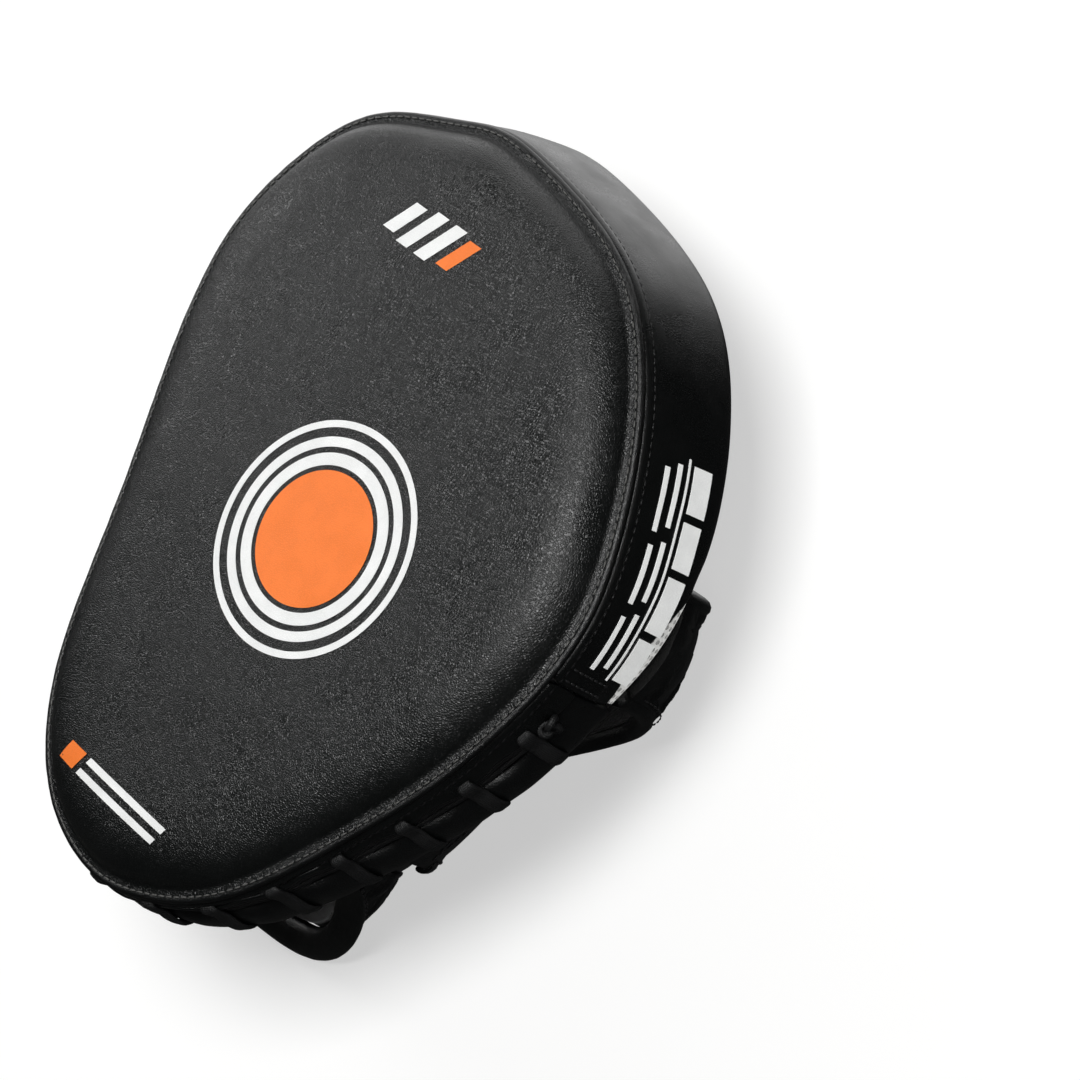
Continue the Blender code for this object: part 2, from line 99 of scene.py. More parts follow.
def ease(value, low, high):
    """0 at low, 1 at high, smooth between and flat beyond."""
    t = min(max((value - low) / (high - low), 0.0), 1.0)
    return t * t * (3 - 2 * t)


def spread(low, high, count):
    return [low + (high - low) * k / (count - 1) for k in range(count)]


def through(value, knots):
    """A smooth run through (place, height) knots that doesn't overshoot them."""
    slopes = [(b[1] - a[1]) / (b[0] - a[0]) for a, b in zip(knots, knots[1:])]
    at_knots = [0.0]
    for before, after in zip(slopes, slopes[1:]):
        at_knots.append(2 * before * after / (before + after) if before * after > 0 else 0.0)
    at_knots.append(0.0)
    for k, ((x0, y0), (x1, y1)) in enumerate(zip(knots, knots[1:])):
        if value <= x1 or k == len(slopes) - 1:
            t = min(max((value - x0) / (x1 - x0), 0.0), 1.0)
            pull = at_knots[k] * t * (1 - t) ** 2 - at_knots[k + 1] * t * t * (1 - t)
            return y0 + (y1 - y0) * ease(t, 0, 1) + (x1 - x0) * pull


def evenly(points, count):
    """That many evenly spaced points on a closed line, and its length."""
    steps = np.linalg.norm(np.roll(points, -1, axis=0) - points, axis=1)
    travelled = np.concatenate([[0], np.cumsum(steps)])
    wanted = np.linspace(0, travelled[-1], count, endpoint=False)
    closed = np.concatenate([points, points[:1]])
    spaced = np.stack([np.interp(wanted, travelled, closed[:, k]) for k in (0, 1)], axis=1)
    return spaced, travelled[-1]


def seam_line(count):
    """Evenly spaced (x, y, normal x, normal y) rows on the seam, counter-clockwise, and its length."""
    knots = np.array(SEAM_POINTS, float)
    dense = []
    for i in range(len(knots)):
        p0, p1, p2, p3 = (knots[(i + k) % len(knots)] for k in (-1, 0, 1, 2))
        for t in np.linspace(0, 1, 40, endpoint=False):
            dense.append(
                0.5 * (2 * p1 + (p2 - p0) * t + (2 * p0 - 5 * p1 + 4 * p2 - p3) * t**2
                       + (3 * p1 - p0 - 3 * p2 + p3) * t**3)
            )
    coarse = count // 2
    points, length = evenly(np.array(dense), coarse)
    reach = int(SMOOTHING_LENGTH / length * coarse)
    weights = 1 + np.cos(np.linspace(-math.pi, math.pi, 2 * reach + 1))
    weights /= weights.sum()
    points = sum(w * np.roll(points, k, axis=0) for k, w in zip(range(-reach, reach + 1), weights))
    points, length = evenly(points, count)
    tangent = np.roll(points, -1, axis=0) - np.roll(points, 1, axis=0)
    tangent /= np.linalg.norm(tangent, axis=1)[:, None]
    return np.column_stack([points, tangent[:, 1], -tangent[:, 0]]), length


SEAM, SEAM_LENGTH = seam_line(SEAM_SAMPLES)


def rail(s):
    """(x, y, normal x, normal y) on the seam at a distance s along it."""
    t = s / SEAM_LENGTH % 1.0 * len(SEAM)
    i = int(t)
    return SEAM[i % len(SEAM)] * (1 - t + i) + SEAM[(i + 1) % len(SEAM)] * (t - i)


def s_at(y, side):
    """Distance along the seam of the point at that y, on the thumb side (+1) or the outer side (-1)."""
    near = [i for i in range(len(SEAM)) if SEAM[i][0] * side > 20]
    return min(near, key=lambda i: abs(SEAM[i][1] - y)) * SEAM_LENGTH / len(SEAM)


def back_z(y):
    return BACK_Z_WRIST - BACK_SLOPE * (y - WRIST_Y)


def flare(y, z):
    depth = (SEAM_Z - z) / (SEAM_Z - back_z(y))
    return GUSSET_FLARE * ease(y, -10, 70) * min(max(depth, 0.0), 1.1)


def wall(s, offset, z):
    """A point on the side wall: an offset outward from the seam, and a height."""
    x, y, nx, ny = rail(s)
    away = offset + flare(y, z)
    share = ease(z, SEAM_Z, back_z(y) + 3)
    return x + nx * away, y + ny * away, z - share * BACK_SLOPE * ny * away


def face_loop(inset, z, count):
    loop = []
    for k in range(count):
        x, y, nx, ny = rail(SEAM_LENGTH * k / count)
        loop.append((x - nx * inset, y - ny * inset, z))
    return loop


def sind(degrees):
    return math.sin(math.radians(degrees))


def cosd(degrees):
    return math.cos(math.radians(degrees))


def blunt(value, power):
    """A sine or cosine made squarer, or rounder, by a power. It keeps its sign."""
    return math.copysign(abs(value) ** power, value)


def dome_point(angle, y, offset=0.0):
    """On the arch over the hand: 0 degrees at the thumb side's base, 180 at the other."""
    cos_a = cosd(angle)
    sin_a = max(sind(angle), 0.0)
    centre = -3.0 - 0.0009 * (y + 10) ** 2
    half_width = through(y, DOME_HALF_WIDTH) + offset
    base = back_z(y) - GAP
    height = base - through(y, DOME_TOP_Z) + offset
    x = centre + half_width * blunt(cos_a, DOME_SQUARENESS)
    return x, y, max(base - height * sin_a**DOME_SQUARENESS, FLOOR_Z)


# ---------------------------------------------------------------- meshes


def wobble(x, y, z, size, seed=0.0):
    return noise.noise(Vector((x / size + seed, y / size - seed, z / size + 2 * seed)))


def put(name, points, faces, look, body, uvs=None, sharp=50, smooth=0):
    """A piece from design-frame points, in the look of that name. uvs holds one (u, v) in millimetres
    for each face corner."""
    mesh = bpy.data.meshes.new(name)
    mesh.from_pydata((np.array(points, float) * MM + ORIGIN).tolist(), [], faces)
    if uvs is not None:
        layer = mesh.uv_layers.new(name="UVMap")
        layer.data.foreach_set("uv", (np.array(uvs, np.float32) * MM).ravel())
    mesh.shade_smooth()
    if sharp:
        mesh.set_sharp_from_angle(angle=math.radians(sharp))
    mesh.materials.append(LOOKS[look]["material"])
    made = bpy.data.objects.new(name, mesh)
    bpy.context.scene.collection.objects.link(made)
    if smooth:
        modifier = made.modifiers.new("smooth", "SUBSURF")
        modifier.levels = modifier.render_levels = smooth
    if body:
        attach(made, body)
    return made


def loft(name, rows, look, body, ring=False, sharp=50, smooth=0):
    """A closed solid through closed sections. With ring, the last section joins the first."""
    rows = np.array(rows, float)
    count, size = rows.shape[:2]
    along = np.linalg.norm(np.diff(np.concatenate([rows, rows[:1]]), axis=0), axis=2).mean(axis=1)
    along = np.concatenate([[0], np.cumsum(along)])
    round_it = np.linalg.norm(np.roll(rows, -1, axis=1) - rows, axis=2)
    round_it = np.concatenate([np.zeros((count, 1)), np.cumsum(round_it, axis=1)], axis=1)
    faces, uvs = [], []
    for i in range(count if ring else count - 1):
        k = (i + 1) % count
        for j in range(size):
            n = (j + 1) % size
            faces.append((i * size + j, k * size + j, k * size + n, i * size + n))
            uvs += [
                (along[i], round_it[i][j]), (along[i + 1], round_it[k][j]),
                (along[i + 1], round_it[k][j + 1]), (along[i], round_it[i][j + 1]),
            ]
    if not ring:
        faces.append(tuple(range(size)))
        faces.append(tuple(range((count - 1) * size, count * size))[::-1])
        uvs += [tuple(p[:2]) for p in rows[0]] + [tuple(p[:2]) for p in rows[-1][::-1]]
    if signed_volume(rows.reshape(-1, 3), faces) < 0:
        faces, uvs = flipped(faces, uvs)
    return put(name, rows.reshape(-1, 3), faces, look, body, uvs, sharp, smooth)


def signed_volume(points, faces):
    total = 0.0
    for face in faces:
        a = points[face[0]]
        for b, c in zip(face[1:-1], face[2:]):
            total += np.dot(a, np.cross(points[b], points[c]))
    return total


def flipped(faces, uvs):
    turned, at = [], 0
    for face in faces:
        turned += uvs[at:at + len(face)][::-1]
        at += len(face)
    return [face[::-1] for face in faces], turned


def shell(name, outer, inner, look, body, **options):
    """A closed skin between two grids of points."""
    return loft(name, [list(a) + list(b)[::-1] for a, b in zip(outer, inner)], look, body, **options)


def tube_rows(path, radius, sides=10):
    """Circles along a path of points."""
    path = [Vector(p) for p in path]
    turns = [math.tau * i / sides for i in range(sides)]
    rows = []
    side = None
    for k, point in enumerate(path):
        ahead = (path[min(k + 1, len(path) - 1)] - path[max(k - 1, 0)]).normalized()
        if side is None:
            side = ahead.cross(Vector((0, 0, 1))).normalized()
        side = (side - ahead * side.dot(ahead)).normalized()
        other = ahead.cross(side)
        rows.append([tuple(point + (side * math.cos(a) + other * math.sin(a)) * radius) for a in turns])
    return rows


def around(sides, point):
    """The section that point(cosine, sine) draws over one turn."""
    turns = [math.tau * i / sides for i in range(sides)]
    return [point(math.cos(a), math.sin(a)) for a in turns]


def polyline(corners, count, stop=0.98):
    """That many points along each straight run between corners, the last just short of the next corner."""
    path = []
    for (u0, v0), (u1, v1) in zip(corners, corners[1:]):
        path += [(u0 + (u1 - u0) * t, v0 + (v1 - v0) * t) for t in spread(0, stop, count)]
    return path


STITCH_SIDES = 6
STITCH_WIDTH = 1.25
STITCH_SHAPE = (  # share of the length, fatness, and how far it dips into the leather
    (0.0, 0.35, -1.1), (0.14, 0.8, -0.25), (0.5, 1.0, 0.0), (0.86, 0.8, -0.25), (1.0, 0.35, -1.1),
)


def stitches(name, path, out, look, body, length=2.5, gap=0.8, radius=0.3, lift=0.1):
    """A row of thread stitches along a path. out gives the surface's outward direction at each point."""
    path = np.array(path, float)
    out = np.array(out, float)
    travelled = np.concatenate([[0], np.cumsum(np.linalg.norm(np.diff(path, axis=0), axis=1))])

    def at(s):
        return (
            Vector([np.interp(s, travelled, path[:, k]) for k in range(3)]),
            Vector([np.interp(s, travelled, out[:, k]) for k in range(3)]).normalized(),
        )

    points, faces = [], []
    sides = STITCH_SIDES
    for k in range(int(travelled[-1] / (length + gap))):
        start = k * (length + gap) + gap / 2
        base = len(points)
        ahead = (at(start + length)[0] - at(start)[0]).normalized()
        for share, fat, dip in STITCH_SHAPE:
            centre, up = at(start + share * length)
            side = ahead.cross(up).normalized()
            for i in range(sides):
                a = math.tau * i / sides
                shift = side * math.cos(a) * STITCH_WIDTH + up * (math.sin(a) + dip)
                points.append(centre + up * lift + shift * radius * fat)
        for i in range(len(STITCH_SHAPE) - 1):
            for j in range(sides):
                n = (j + 1) % sides
                low, high = base + i * sides, base + (i + 1) * sides
                faces.append((low + j, low + n, high + n, high + j))
        faces.append(tuple(base + j for j in range(sides))[::-1])
        faces.append(tuple(base + (len(STITCH_SHAPE) - 1) * sides + j for j in range(sides)))
    points = np.array([tuple(p) for p in points])
    if signed_volume(points, faces) < 0:
        faces = [face[::-1] for face in faces]
    return put(name, points, faces, look, body, sharp=0)


CLOTH_FRAMES = 16
CLOTH_SETTINGS = dict(
    quality=7, mass=0.2, tension_stiffness=40, compression_stiffness=40, shear_stiffness=15,
    bending_stiffness=1.5, shrink_min=-0.03, use_pressure=True,
)


def inflate(piece, pinned, pressure, cap):
    """Blows up a closed skin as cloth with its pinned points held. No point moves more than cap mm."""
    scene = bpy.context.scene
    group = piece.vertex_groups.new(name="pinned")
    group.add([i for i, held in enumerate(pinned) if held], 1.0, "REPLACE")
    modifier = piece.modifiers.new("cloth", "CLOTH")
    for key, value in CLOTH_SETTINGS.items():
        setattr(modifier.settings, key, value)
    modifier.settings.vertex_group_mass = group.name
    modifier.settings.uniform_pressure_force = pressure
    modifier.settings.effector_weights.gravity = 0
    modifier.point_cache.frame_start = 1
    modifier.point_cache.frame_end = CLOTH_FRAMES
    for k in range(1, CLOTH_FRAMES + 1):
        scene.frame_set(k)
    blown = piece.evaluated_get(bpy.context.evaluated_depsgraph_get())
    after = np.empty(len(piece.data.vertices) * 3, np.float32)
    blown.data.vertices.foreach_get("co", after)
    before = np.empty_like(after)
    piece.data.vertices.foreach_get("co", before)
    moved = (after - before).reshape(-1, 3)
    size = np.linalg.norm(moved, axis=1, keepdims=True)
    moved *= np.minimum(1.0, cap * MM / np.maximum(size, 1e-9))
    moved[np.array(pinned, bool)] = 0
    piece.data.vertices.foreach_set("co", (before.reshape(-1, 3) + moved).ravel())
    piece.modifiers.remove(modifier)
    piece.vertex_groups.remove(group)
    scene.frame_set(1)
    piece.data.update()


def settle(piece):
    """Flattens what would reach below the surface that the mitt lies on."""
    for vertex in piece.data.vertices:
        vertex.co.z = max(vertex.co.z, 0.0)


def skin_pins(rows, columns, held):
    """Which points of a shell stay put: its whole inner side, and outer ones where held(row, column)."""
    return [j >= columns or held(i, j) for i in range(rows) for j in range(2 * columns)]


# ---------------------------------------------------------------- materials


class Nodes:
    """A material's node tree, with short ways to add to it."""

    def __init__(self, name):
        self.material = bpy.data.materials.new(name)
        self.material.use_nodes = True
        self.tree = self.material.node_tree
        self.shader = self.tree.nodes["Principled BSDF"]
        self.place = self.add("ShaderNodeTexCoord")

    def add(self, kind, links=None, **settings):
        node = self.tree.nodes.new(kind)
        for key, value in settings.items():
            setattr(node, key, value)
        for key, value in (links or {}).items():
            socket = node.inputs[key]
            if isinstance(value, bpy.types.NodeSocket):
                self.tree.links.new(value, socket)
            else:
                socket.default_value = value
        return node

    def set(self, **values):
        for key, value in values.items():
            socket = self.shader.inputs[key.replace("_", " ")]
            if isinstance(value, bpy.types.NodeSocket):
                self.tree.links.new(value, socket)
            else:
                socket.default_value = value

    def noise(self, size_mm, detail=3.0, rough=0.5, distortion=0.0):
        links = {
            "Vector": self.place.outputs["Object"], "Scale": 1 / (size_mm * MM), "Detail": detail,
            "Roughness": rough, "Distortion": distortion,
        }
        return self.add("ShaderNodeTexNoise", links).outputs["Fac"]

    def cells(self, size_mm, feature="DISTANCE_TO_EDGE", place="Object", randomness=1.0, flat=False):
        links = {
            "Vector": self.place.outputs[place], "Scale": 1 / (size_mm * MM), "Randomness": randomness,
        }
        dimensions = "2D" if flat else "3D"
        node = self.add("ShaderNodeTexVoronoi", links, feature=feature, voronoi_dimensions=dimensions)
        return node.outputs["Distance"]

    def span(self, value, low, high, to_low=0.0, to_high=1.0):
        links = {"Value": value, "From Min": low, "From Max": high, "To Min": to_low, "To Max": to_high}
        return self.add("ShaderNodeMapRange", links, interpolation_type="SMOOTHSTEP").outputs["Result"]

    def maths(self, operation, a, b=0.0):
        return self.add("ShaderNodeMath", {0: a, 1: b}, operation=operation).outputs[0]

    def mix(self, share, a, b):
        node = self.add("ShaderNodeMix", data_type="RGBA")
        for key, value in ((0, share), (6, a), (7, b)):
            if isinstance(value, bpy.types.NodeSocket):
                self.tree.links.new(value, node.inputs[key])
            else:
                node.inputs[key].default_value = value if key == 0 else (*value, 1.0)
        return node.outputs[2]

    def bump(self, height, depth_mm, onto=None):
        links = {"Height": height, "Distance": depth_mm * MM}
        if onto is not None:
            links["Normal"] = onto
        return self.add("ShaderNodeBump", links).outputs["Normal"]

    def look(self, slot):
        return {"material": self.material, "slot": slot}


def shade(colour, factor):
    return tuple(min(c * factor, 1.0) for c in colour)


def leather(name, slot, colour, roughness, grain_mm=0.7, grain_depth=0.05, crease_depth=0.25, creased=0.1):
    """Coated leather: pebble grain, broad unevenness, sparse creases, and shine that varies with both."""
    n = Nodes(name)
    pebbles = n.span(n.cells(grain_mm), 0.0, 0.32)
    fine = n.noise(grain_mm * 0.45, 2.0)
    broad = n.noise(16, 3.0, 0.55)
    lines = n.maths("ABSOLUTE", n.maths("SUBTRACT", n.noise(17, 1.0, 0.4, 0.6), 0.5))
    patches = n.span(n.noise(30, 1.0), 0.5, 0.7)
    creases = n.maths("MULTIPLY", n.span(lines, 0.0, 0.03, 1.0, 0.0), patches)
    height = n.maths("SUBTRACT", n.maths("MULTIPLY", broad, 1.6), n.maths("MULTIPLY", creases, creased))
    grain = n.maths("ADD", pebbles, n.maths("MULTIPLY", fine, 0.5))
    normal = n.bump(grain, grain_depth, n.bump(height, crease_depth))
    wear = n.span(n.noise(48, 4.0, 0.6), 0.4, 0.7)
    worn = n.mix(wear, colour, shade(colour, 1.35))
    tint = n.mix(n.maths("MULTIPLY", pebbles, 0.6), shade(colour, 0.6), worn)
    uneven = n.span(broad, 0.3, 0.7, roughness - 0.05, roughness + 0.06)
    gloss = n.maths("ADD", uneven, n.maths("MULTIPLY", pebbles, -0.03))
    n.set(Base_Color=tint, Roughness=gloss, Normal=normal, Specular_IOR_Level=0.5)
    return n.look(slot)


def suede():
    n = Nodes("suede")
    nap = n.noise(0.5, 3.0, 0.7)
    brushed = n.span(n.noise(26, 3.0, 0.6, 0.6), 0.38, 0.66)
    tint = n.mix(brushed, (0.011, 0.011, 0.012), (0.021, 0.021, 0.022))
    tint = n.mix(n.maths("MULTIPLY", nap, 0.5), tint, (0.004, 0.004, 0.004))
    n.set(Base_Color=tint, Roughness=n.span(nap, 0.3, 0.7, 0.86, 0.97), Normal=n.bump(nap, 0.18))
    n.set(Sheen_Weight=0.35, Sheen_Roughness=0.45, Specular_IOR_Level=0.25)
    return n.look("suede_black")


def woven(name, slot, colour, pitch_mm=0.9, depth=0.12, roughness=0.62):
    """Braided cord or tape: a close grid of small bumps, from the piece's own UVs."""
    n = Nodes(name)
    parts = n.add("ShaderNodeSeparateXYZ", {"Vector": n.place.outputs["UV"]})
    along = n.maths("MULTIPLY", parts.outputs[0], math.tau / (pitch_mm * MM))
    across = n.maths("MULTIPLY", parts.outputs[1], math.tau / (pitch_mm * MM))
    one = n.maths("SINE", n.maths("ADD", along, n.maths("MULTIPLY", across, 0.7)))
    two = n.maths("SINE", n.maths("SUBTRACT", along, n.maths("MULTIPLY", across, 0.7)))
    ribs = n.span(n.maths("MULTIPLY", one, two), -0.8, 0.8)
    fuzz = n.noise(0.35, 2.0)
    height = n.maths("ADD", ribs, n.maths("MULTIPLY", fuzz, 0.6))
    tint = n.mix(ribs, shade(colour, 0.45), n.mix(fuzz, colour, shade(colour, 1.6)))
    n.set(Base_Color=tint, Roughness=n.span(fuzz, 0.3, 0.7, roughness - 0.08, roughness + 0.1))
    n.set(Normal=n.bump(height, depth), Specular_IOR_Level=0.5)
    return n.look(slot)


def perforated(name, slot, colour, hole_shade, pitch_mm=2.6):
    """Knitted mesh with small round holes in rows. The holes are not cut: each one is a darker spot of
    painted shade.
    """
    n = Nodes(name)
    holes = n.cells(pitch_mm, "F1", "UV", randomness=0.12, flat=True)
    knit = n.noise(0.5, 2.0)
    ridge = n.span(holes, 0.2, 0.36)
    # painted shade: the hole spots take the darker colour that stands for the dim inside of each hole
    tint = n.mix(ridge, hole_shade, n.mix(knit, shade(colour, 0.86), colour))
    n.set(Base_Color=tint, Roughness=n.span(knit, 0.3, 0.7, 0.7, 0.85), Sheen_Weight=0.15)
    n.set(Normal=n.bump(n.maths("ADD", ridge, n.maths("MULTIPLY", knit, 0.35)), 0.35))
    return n.look(slot)


def thread(name, slot, colour, roughness=0.5):
    n = Nodes(name)
    twist = n.noise(0.35, 2.0, 0.6)
    n.set(Base_Color=n.mix(twist, shade(colour, 0.7), shade(colour, 1.15)), Normal=n.bump(twist, 0.06))
    n.set(Roughness=n.span(twist, 0.3, 0.7, roughness - 0.1, roughness + 0.1))
    return n.look(slot)


def printed(name, slot, colour):
    """Ink on grained leather: the grain shows through it, and the ink thins a little in places."""
    n = Nodes(name)
    pebbles = n.span(n.cells(0.7), 0.0, 0.3)
    cloud = n.noise(9, 4.0, 0.6)
    tint = n.mix(n.span(cloud, 0.35, 0.7), shade(colour, 0.93), colour)
    tint = n.mix(n.span(pebbles, 0.0, 0.35, 0.12, 0.0), tint, shade(colour, 0.5))
    n.set(Base_Color=tint, Roughness=n.span(cloud, 0.3, 0.7, 0.42, 0.54), Normal=n.bump(pebbles, 0.022))
    n.set(Specular_IOR_Level=0.4)
    return n.look(slot)


def rubber():
    n = Nodes("rubber")
    dust = n.noise(0.6, 3.0, 0.6)
    cloud = n.noise(12, 3.0)
    n.set(Base_Color=n.mix(cloud, (0.02, 0.02, 0.021), (0.032, 0.032, 0.033)), Normal=n.bump(dust, 0.05))
    n.set(Roughness=n.span(dust, 0.3, 0.7, 0.55, 0.72))
    return n.look("rubber_black")


def fuzzy(name, slot, colour, size_mm):
    """Hook or loop tape: a dense nap of small loops."""
    n = Nodes(name)
    loops = n.cells(size_mm, "F1")
    fuzz = n.noise(0.4, 3.0, 0.7)
    n.set(Base_Color=n.mix(loops, shade(colour, 1.7), shade(colour, 0.3)), Sheen_Weight=0.3)
    n.set(Normal=n.bump(n.maths("ADD", loops, fuzz), 0.5), Roughness=n.span(fuzz, 0.3, 0.7, 0.85, 0.98))
    return n.look(slot)


def foam():
    n = Nodes("foam")
    pores = n.cells(0.8, "F1")
    tint = n.mix(pores, (0.1, 0.1, 0.1), (0.3, 0.3, 0.31))
    n.set(Base_Color=tint, Normal=n.bump(pores, 0.3), Roughness=0.95)
    return n.look("foam_grey")


LOOKS = {
    "face": leather("face_leather", "leather_black", (0.0034, 0.0042, 0.0041), 0.34, 0.75, 0.085, 0.13),
    "wall": leather("wall_leather", "leather_black", (0.0024, 0.0029, 0.0029), 0.32, 0.8, 0.03, 0.14, 0.0),
    "soft": leather("soft_leather", "leather_black", (0.0026, 0.003, 0.0031), 0.33, 0.85, 0.035, 0.45),
    "edge": leather("edge_leather", "binding_black", (0.0024, 0.0029, 0.0029), 0.35, 0.6, 0.05, 0.2),
    "suede": suede(),
    "lace": woven("lace", "lace_black", (0.0045, 0.0048, 0.005), roughness=0.5),
    "tape": woven("tape", "binding_black", (0.009, 0.0095, 0.01), 1.4, 0.15, 0.7),
    # the last colour of each mesh look is the painted shade of its holes
    "mesh_white": perforated("mesh_white", "mesh_white", (0.82, 0.82, 0.8), (0.34, 0.34, 0.33)),
    "mesh_black": perforated("mesh_black", "mesh_black", (0.022, 0.022, 0.023), (0.003, 0.003, 0.003), 2.0),
    "thread_light": thread("thread_light", "binding_black", (0.09, 0.09, 0.085)),
    "thread_dark": thread("thread_dark", "binding_black", (0.009, 0.009, 0.0095), 0.45),
    "orange": printed("print_orange", "print_orange", (0.95, 0.215, 0.035)),
    "white": printed("print_white", "print_white", (0.88, 0.89, 0.88)),
    "rubber": rubber(),
    "foam": foam(),
    "hook": fuzzy("hook_tape", "hook_loop_black", (0.012, 0.012, 0.013), 0.9),
    "loop": fuzzy("loop_tape", "hook_loop_black", (0.018, 0.018, 0.019), 0.6),
}

# ---------------------------------------------------------------- the strike face

FACE_LOOPS = 480
FACE_TOP = (
    (26, -0.15), (21.5, -0.4), (17.5, -0.95), (14, -1.8), (11, -3.0), (8.5, -4.5), (6.5, -6.3),
    (5.1, -8.2), (4.2, -10.0), (3.7, -11.0), (2.9, -11.5), (2.0, -11.55), (1.3, -11.75),
)
FACE_UNDER = (
    (1.3, -12.1), (2.8, -12.2), (4.9, -11.5), (5.7, -9.0), (7.7, -6.7), (9.7, -5.1), (12.5, -3.7), (16, -2.6),
    (21, -2.2), (26, -2.0),
)
FACE_MIDDLE = (-5.0, 5.0)
CROWN_HEIGHT = 1.9
SAG_DEPTH = 0.8
FACE_SHARES = (0.03, 0.1, 0.2, 0.3, 0.4, 0.5, 0.6, 0.7, 0.8, 0.9, 0.96)
FILM_LIFT, FILM_THICKNESS = 0.12, 0.1
LOW_MARKS = ((-46, -99.5), -5.5)
HIGH_MARKS = ((-21, 99), -4)


def face_height(x, y):
    """The soft unevenness of the padded face, its slight crown, and its sag towards the outer side."""
    crown = CROWN_HEIGHT * (1 - min(((x + 5) / 100) ** 2 + ((y - 5) / 130) ** 2, 1.0))
    sag = SAG_DEPTH * ease(-x, 25, 95)
    return crown - sag + 0.28 * wobble(x, y, 0, 34, 3.1) + 0.10 * wobble(x, y, 0, 12, 8.7)


def face_surface(x, y):
    """Height of the face cover's outer surface anywhere, its rolled edge included."""
    inset = np.sqrt(((SEAM[:, :2] - (x, y)) ** 2).sum(axis=1)).min()
    rolled = np.interp(inset, [p[0] for p in FACE_TOP[::-1]], [p[1] for p in FACE_TOP[::-1]])
    return rolled * (1 - ease(inset, 26, 80)) + ease(inset, 3, 14) * face_height(x, y)


def make_face():
    edge = np.array(face_loop(*FACE_TOP[0], FACE_LOOPS))
    rows = []
    for share in FACE_SHARES:
        row = []
        for x, y, z in edge:
            px = FACE_MIDDLE[0] + (x - FACE_MIDDLE[0]) * share
            py = FACE_MIDDLE[1] + (y - FACE_MIDDLE[1]) * share
            row.append((px, py, -0.15 * share**4 + face_height(px, py)))
        rows.append(row)
    for inset, z in FACE_TOP:
        fade = ease(inset, 3, 14)
        rows.append([(x, y, z + fade * face_height(x, y)) for x, y, z in face_loop(inset, z, FACE_LOOPS)])
    for inset, z in FACE_UNDER:
        rows.append(face_loop(inset, z, FACE_LOOPS))
    cover = loft("face_cover", rows, "face", "mitt", sharp=60)
    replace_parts(cover, "strike_face")


def film(name, rows, look):
    """A thin printed film that follows the face, from rows of (x, y) points."""
    top = [[(x, y, face_surface(x, y) + FILM_LIFT) for x, y in row] for row in rows]
    low = [[(x, y, z - FILM_THICKNESS) for x, y, z in row] for row in top]
    shell(name, top, low, look, "mitt", sharp=30)


def make_target():
    sides = 128

    def ring(name, inner, outer, look):
        steps = max(2, int((outer - inner) / 1.5) + 1)
        radii = spread(inner, outer, steps)
        rows = []
        for k in range(sides):
            a = math.tau * k / sides
            top = [(r * math.cos(a), r * math.sin(a)) for r in radii]
            rows.append(
                [(x, y, face_height(x, y) + 0.14) for x, y in top]
                + [(x, y, face_height(x, y) + 0.02) for x, y in top[::-1]]
            )
        return loft(name, rows, look, "mitt", ring=True, sharp=30)

    disc = DISC_EDGE * TARGET_RADIUS
    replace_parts(ring("disc_print", 0.05, disc, "orange"), "target_disc")
    for name, (inner, outer) in zip(("inner", "middle", "outer"), RING_EDGES):
        made = ring(f"ring_print_{name}", inner * TARGET_RADIUS, outer * TARGET_RADIUS, "white")
        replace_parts(made, f"target_ring_{name}")


def bars(name, centre, slope, pieces, look):
    """Slanted printed bars. pieces holds (start, end, low, high, lean) along and across the row."""
    cos_t, sin_t = cosd(slope), sind(slope)
    for k, (start, end, low, high, lean) in enumerate(pieces):
        rows = []
        for u in spread(start, end, max(2, int((end - start) / 2) + 1)):
            row = []
            for v in spread(low, high, 4):
                a = u + lean * v
                row.append((centre[0] + a * cos_t - v * sin_t, centre[1] + a * sin_t + v * cos_t))
            rows.append(row)
        film(f"{name}_{k + 1}", rows, look)


def make_marks():
    """Plain generic bars where the real mitt carries its marks."""
    low_first = [(0, 8.5, -3.6, 3.6, 0.35)]
    low_rest = [(11, 52, 1.2, 3.6, 0.35), (11, 52, -3.6, -1.2, 0.35)]
    high_first = [(-18, -12.5, -6, 6, 0.55), (-9, -3.5, -7.5, 7.5, 0.55), (0, 5.5, -7.5, 7.5, 0.55)]
    high_last = [(9, 14.5, -6, 6, 0.55)]
    bars("mark_low_first", *LOW_MARKS, low_first, "orange")
    bars("mark_low", *LOW_MARKS, low_rest, "white")
    bars("mark_high", *HIGH_MARKS, high_first, "white")
    bars("mark_high_last", *HIGH_MARKS, high_last, "orange")


# ---------------------------------------------------------------- seam and gusset

S_THUMB = s_at(GUSSET_END_Y, 1)
S_OUTER = s_at(GUSSET_END_Y, -1)
GUSSET_RUN = (S_THUMB, S_OUTER + SEAM_LENGTH)
LACED_RUN = (S_OUTER, S_THUMB)
_WRAP_A = s_at(GUSSET_END_Y - 12, 1)
_WRAP_SPAN = _WRAP_A - s_at(GUSSET_END_Y - 12, -1)
WRAP_S = [_WRAP_A - (10 + 400 * k / (LACE_WRAPS - 1)) / 420 * _WRAP_SPAN for k in range(LACE_WRAPS)]
WRAP_PITCH = WRAP_S[0] - WRAP_S[1]


def seam_noise(s, size, seed=0.0):
    x, y, _, _ = rail(s)
    return wobble(x, y, 0, size, seed)


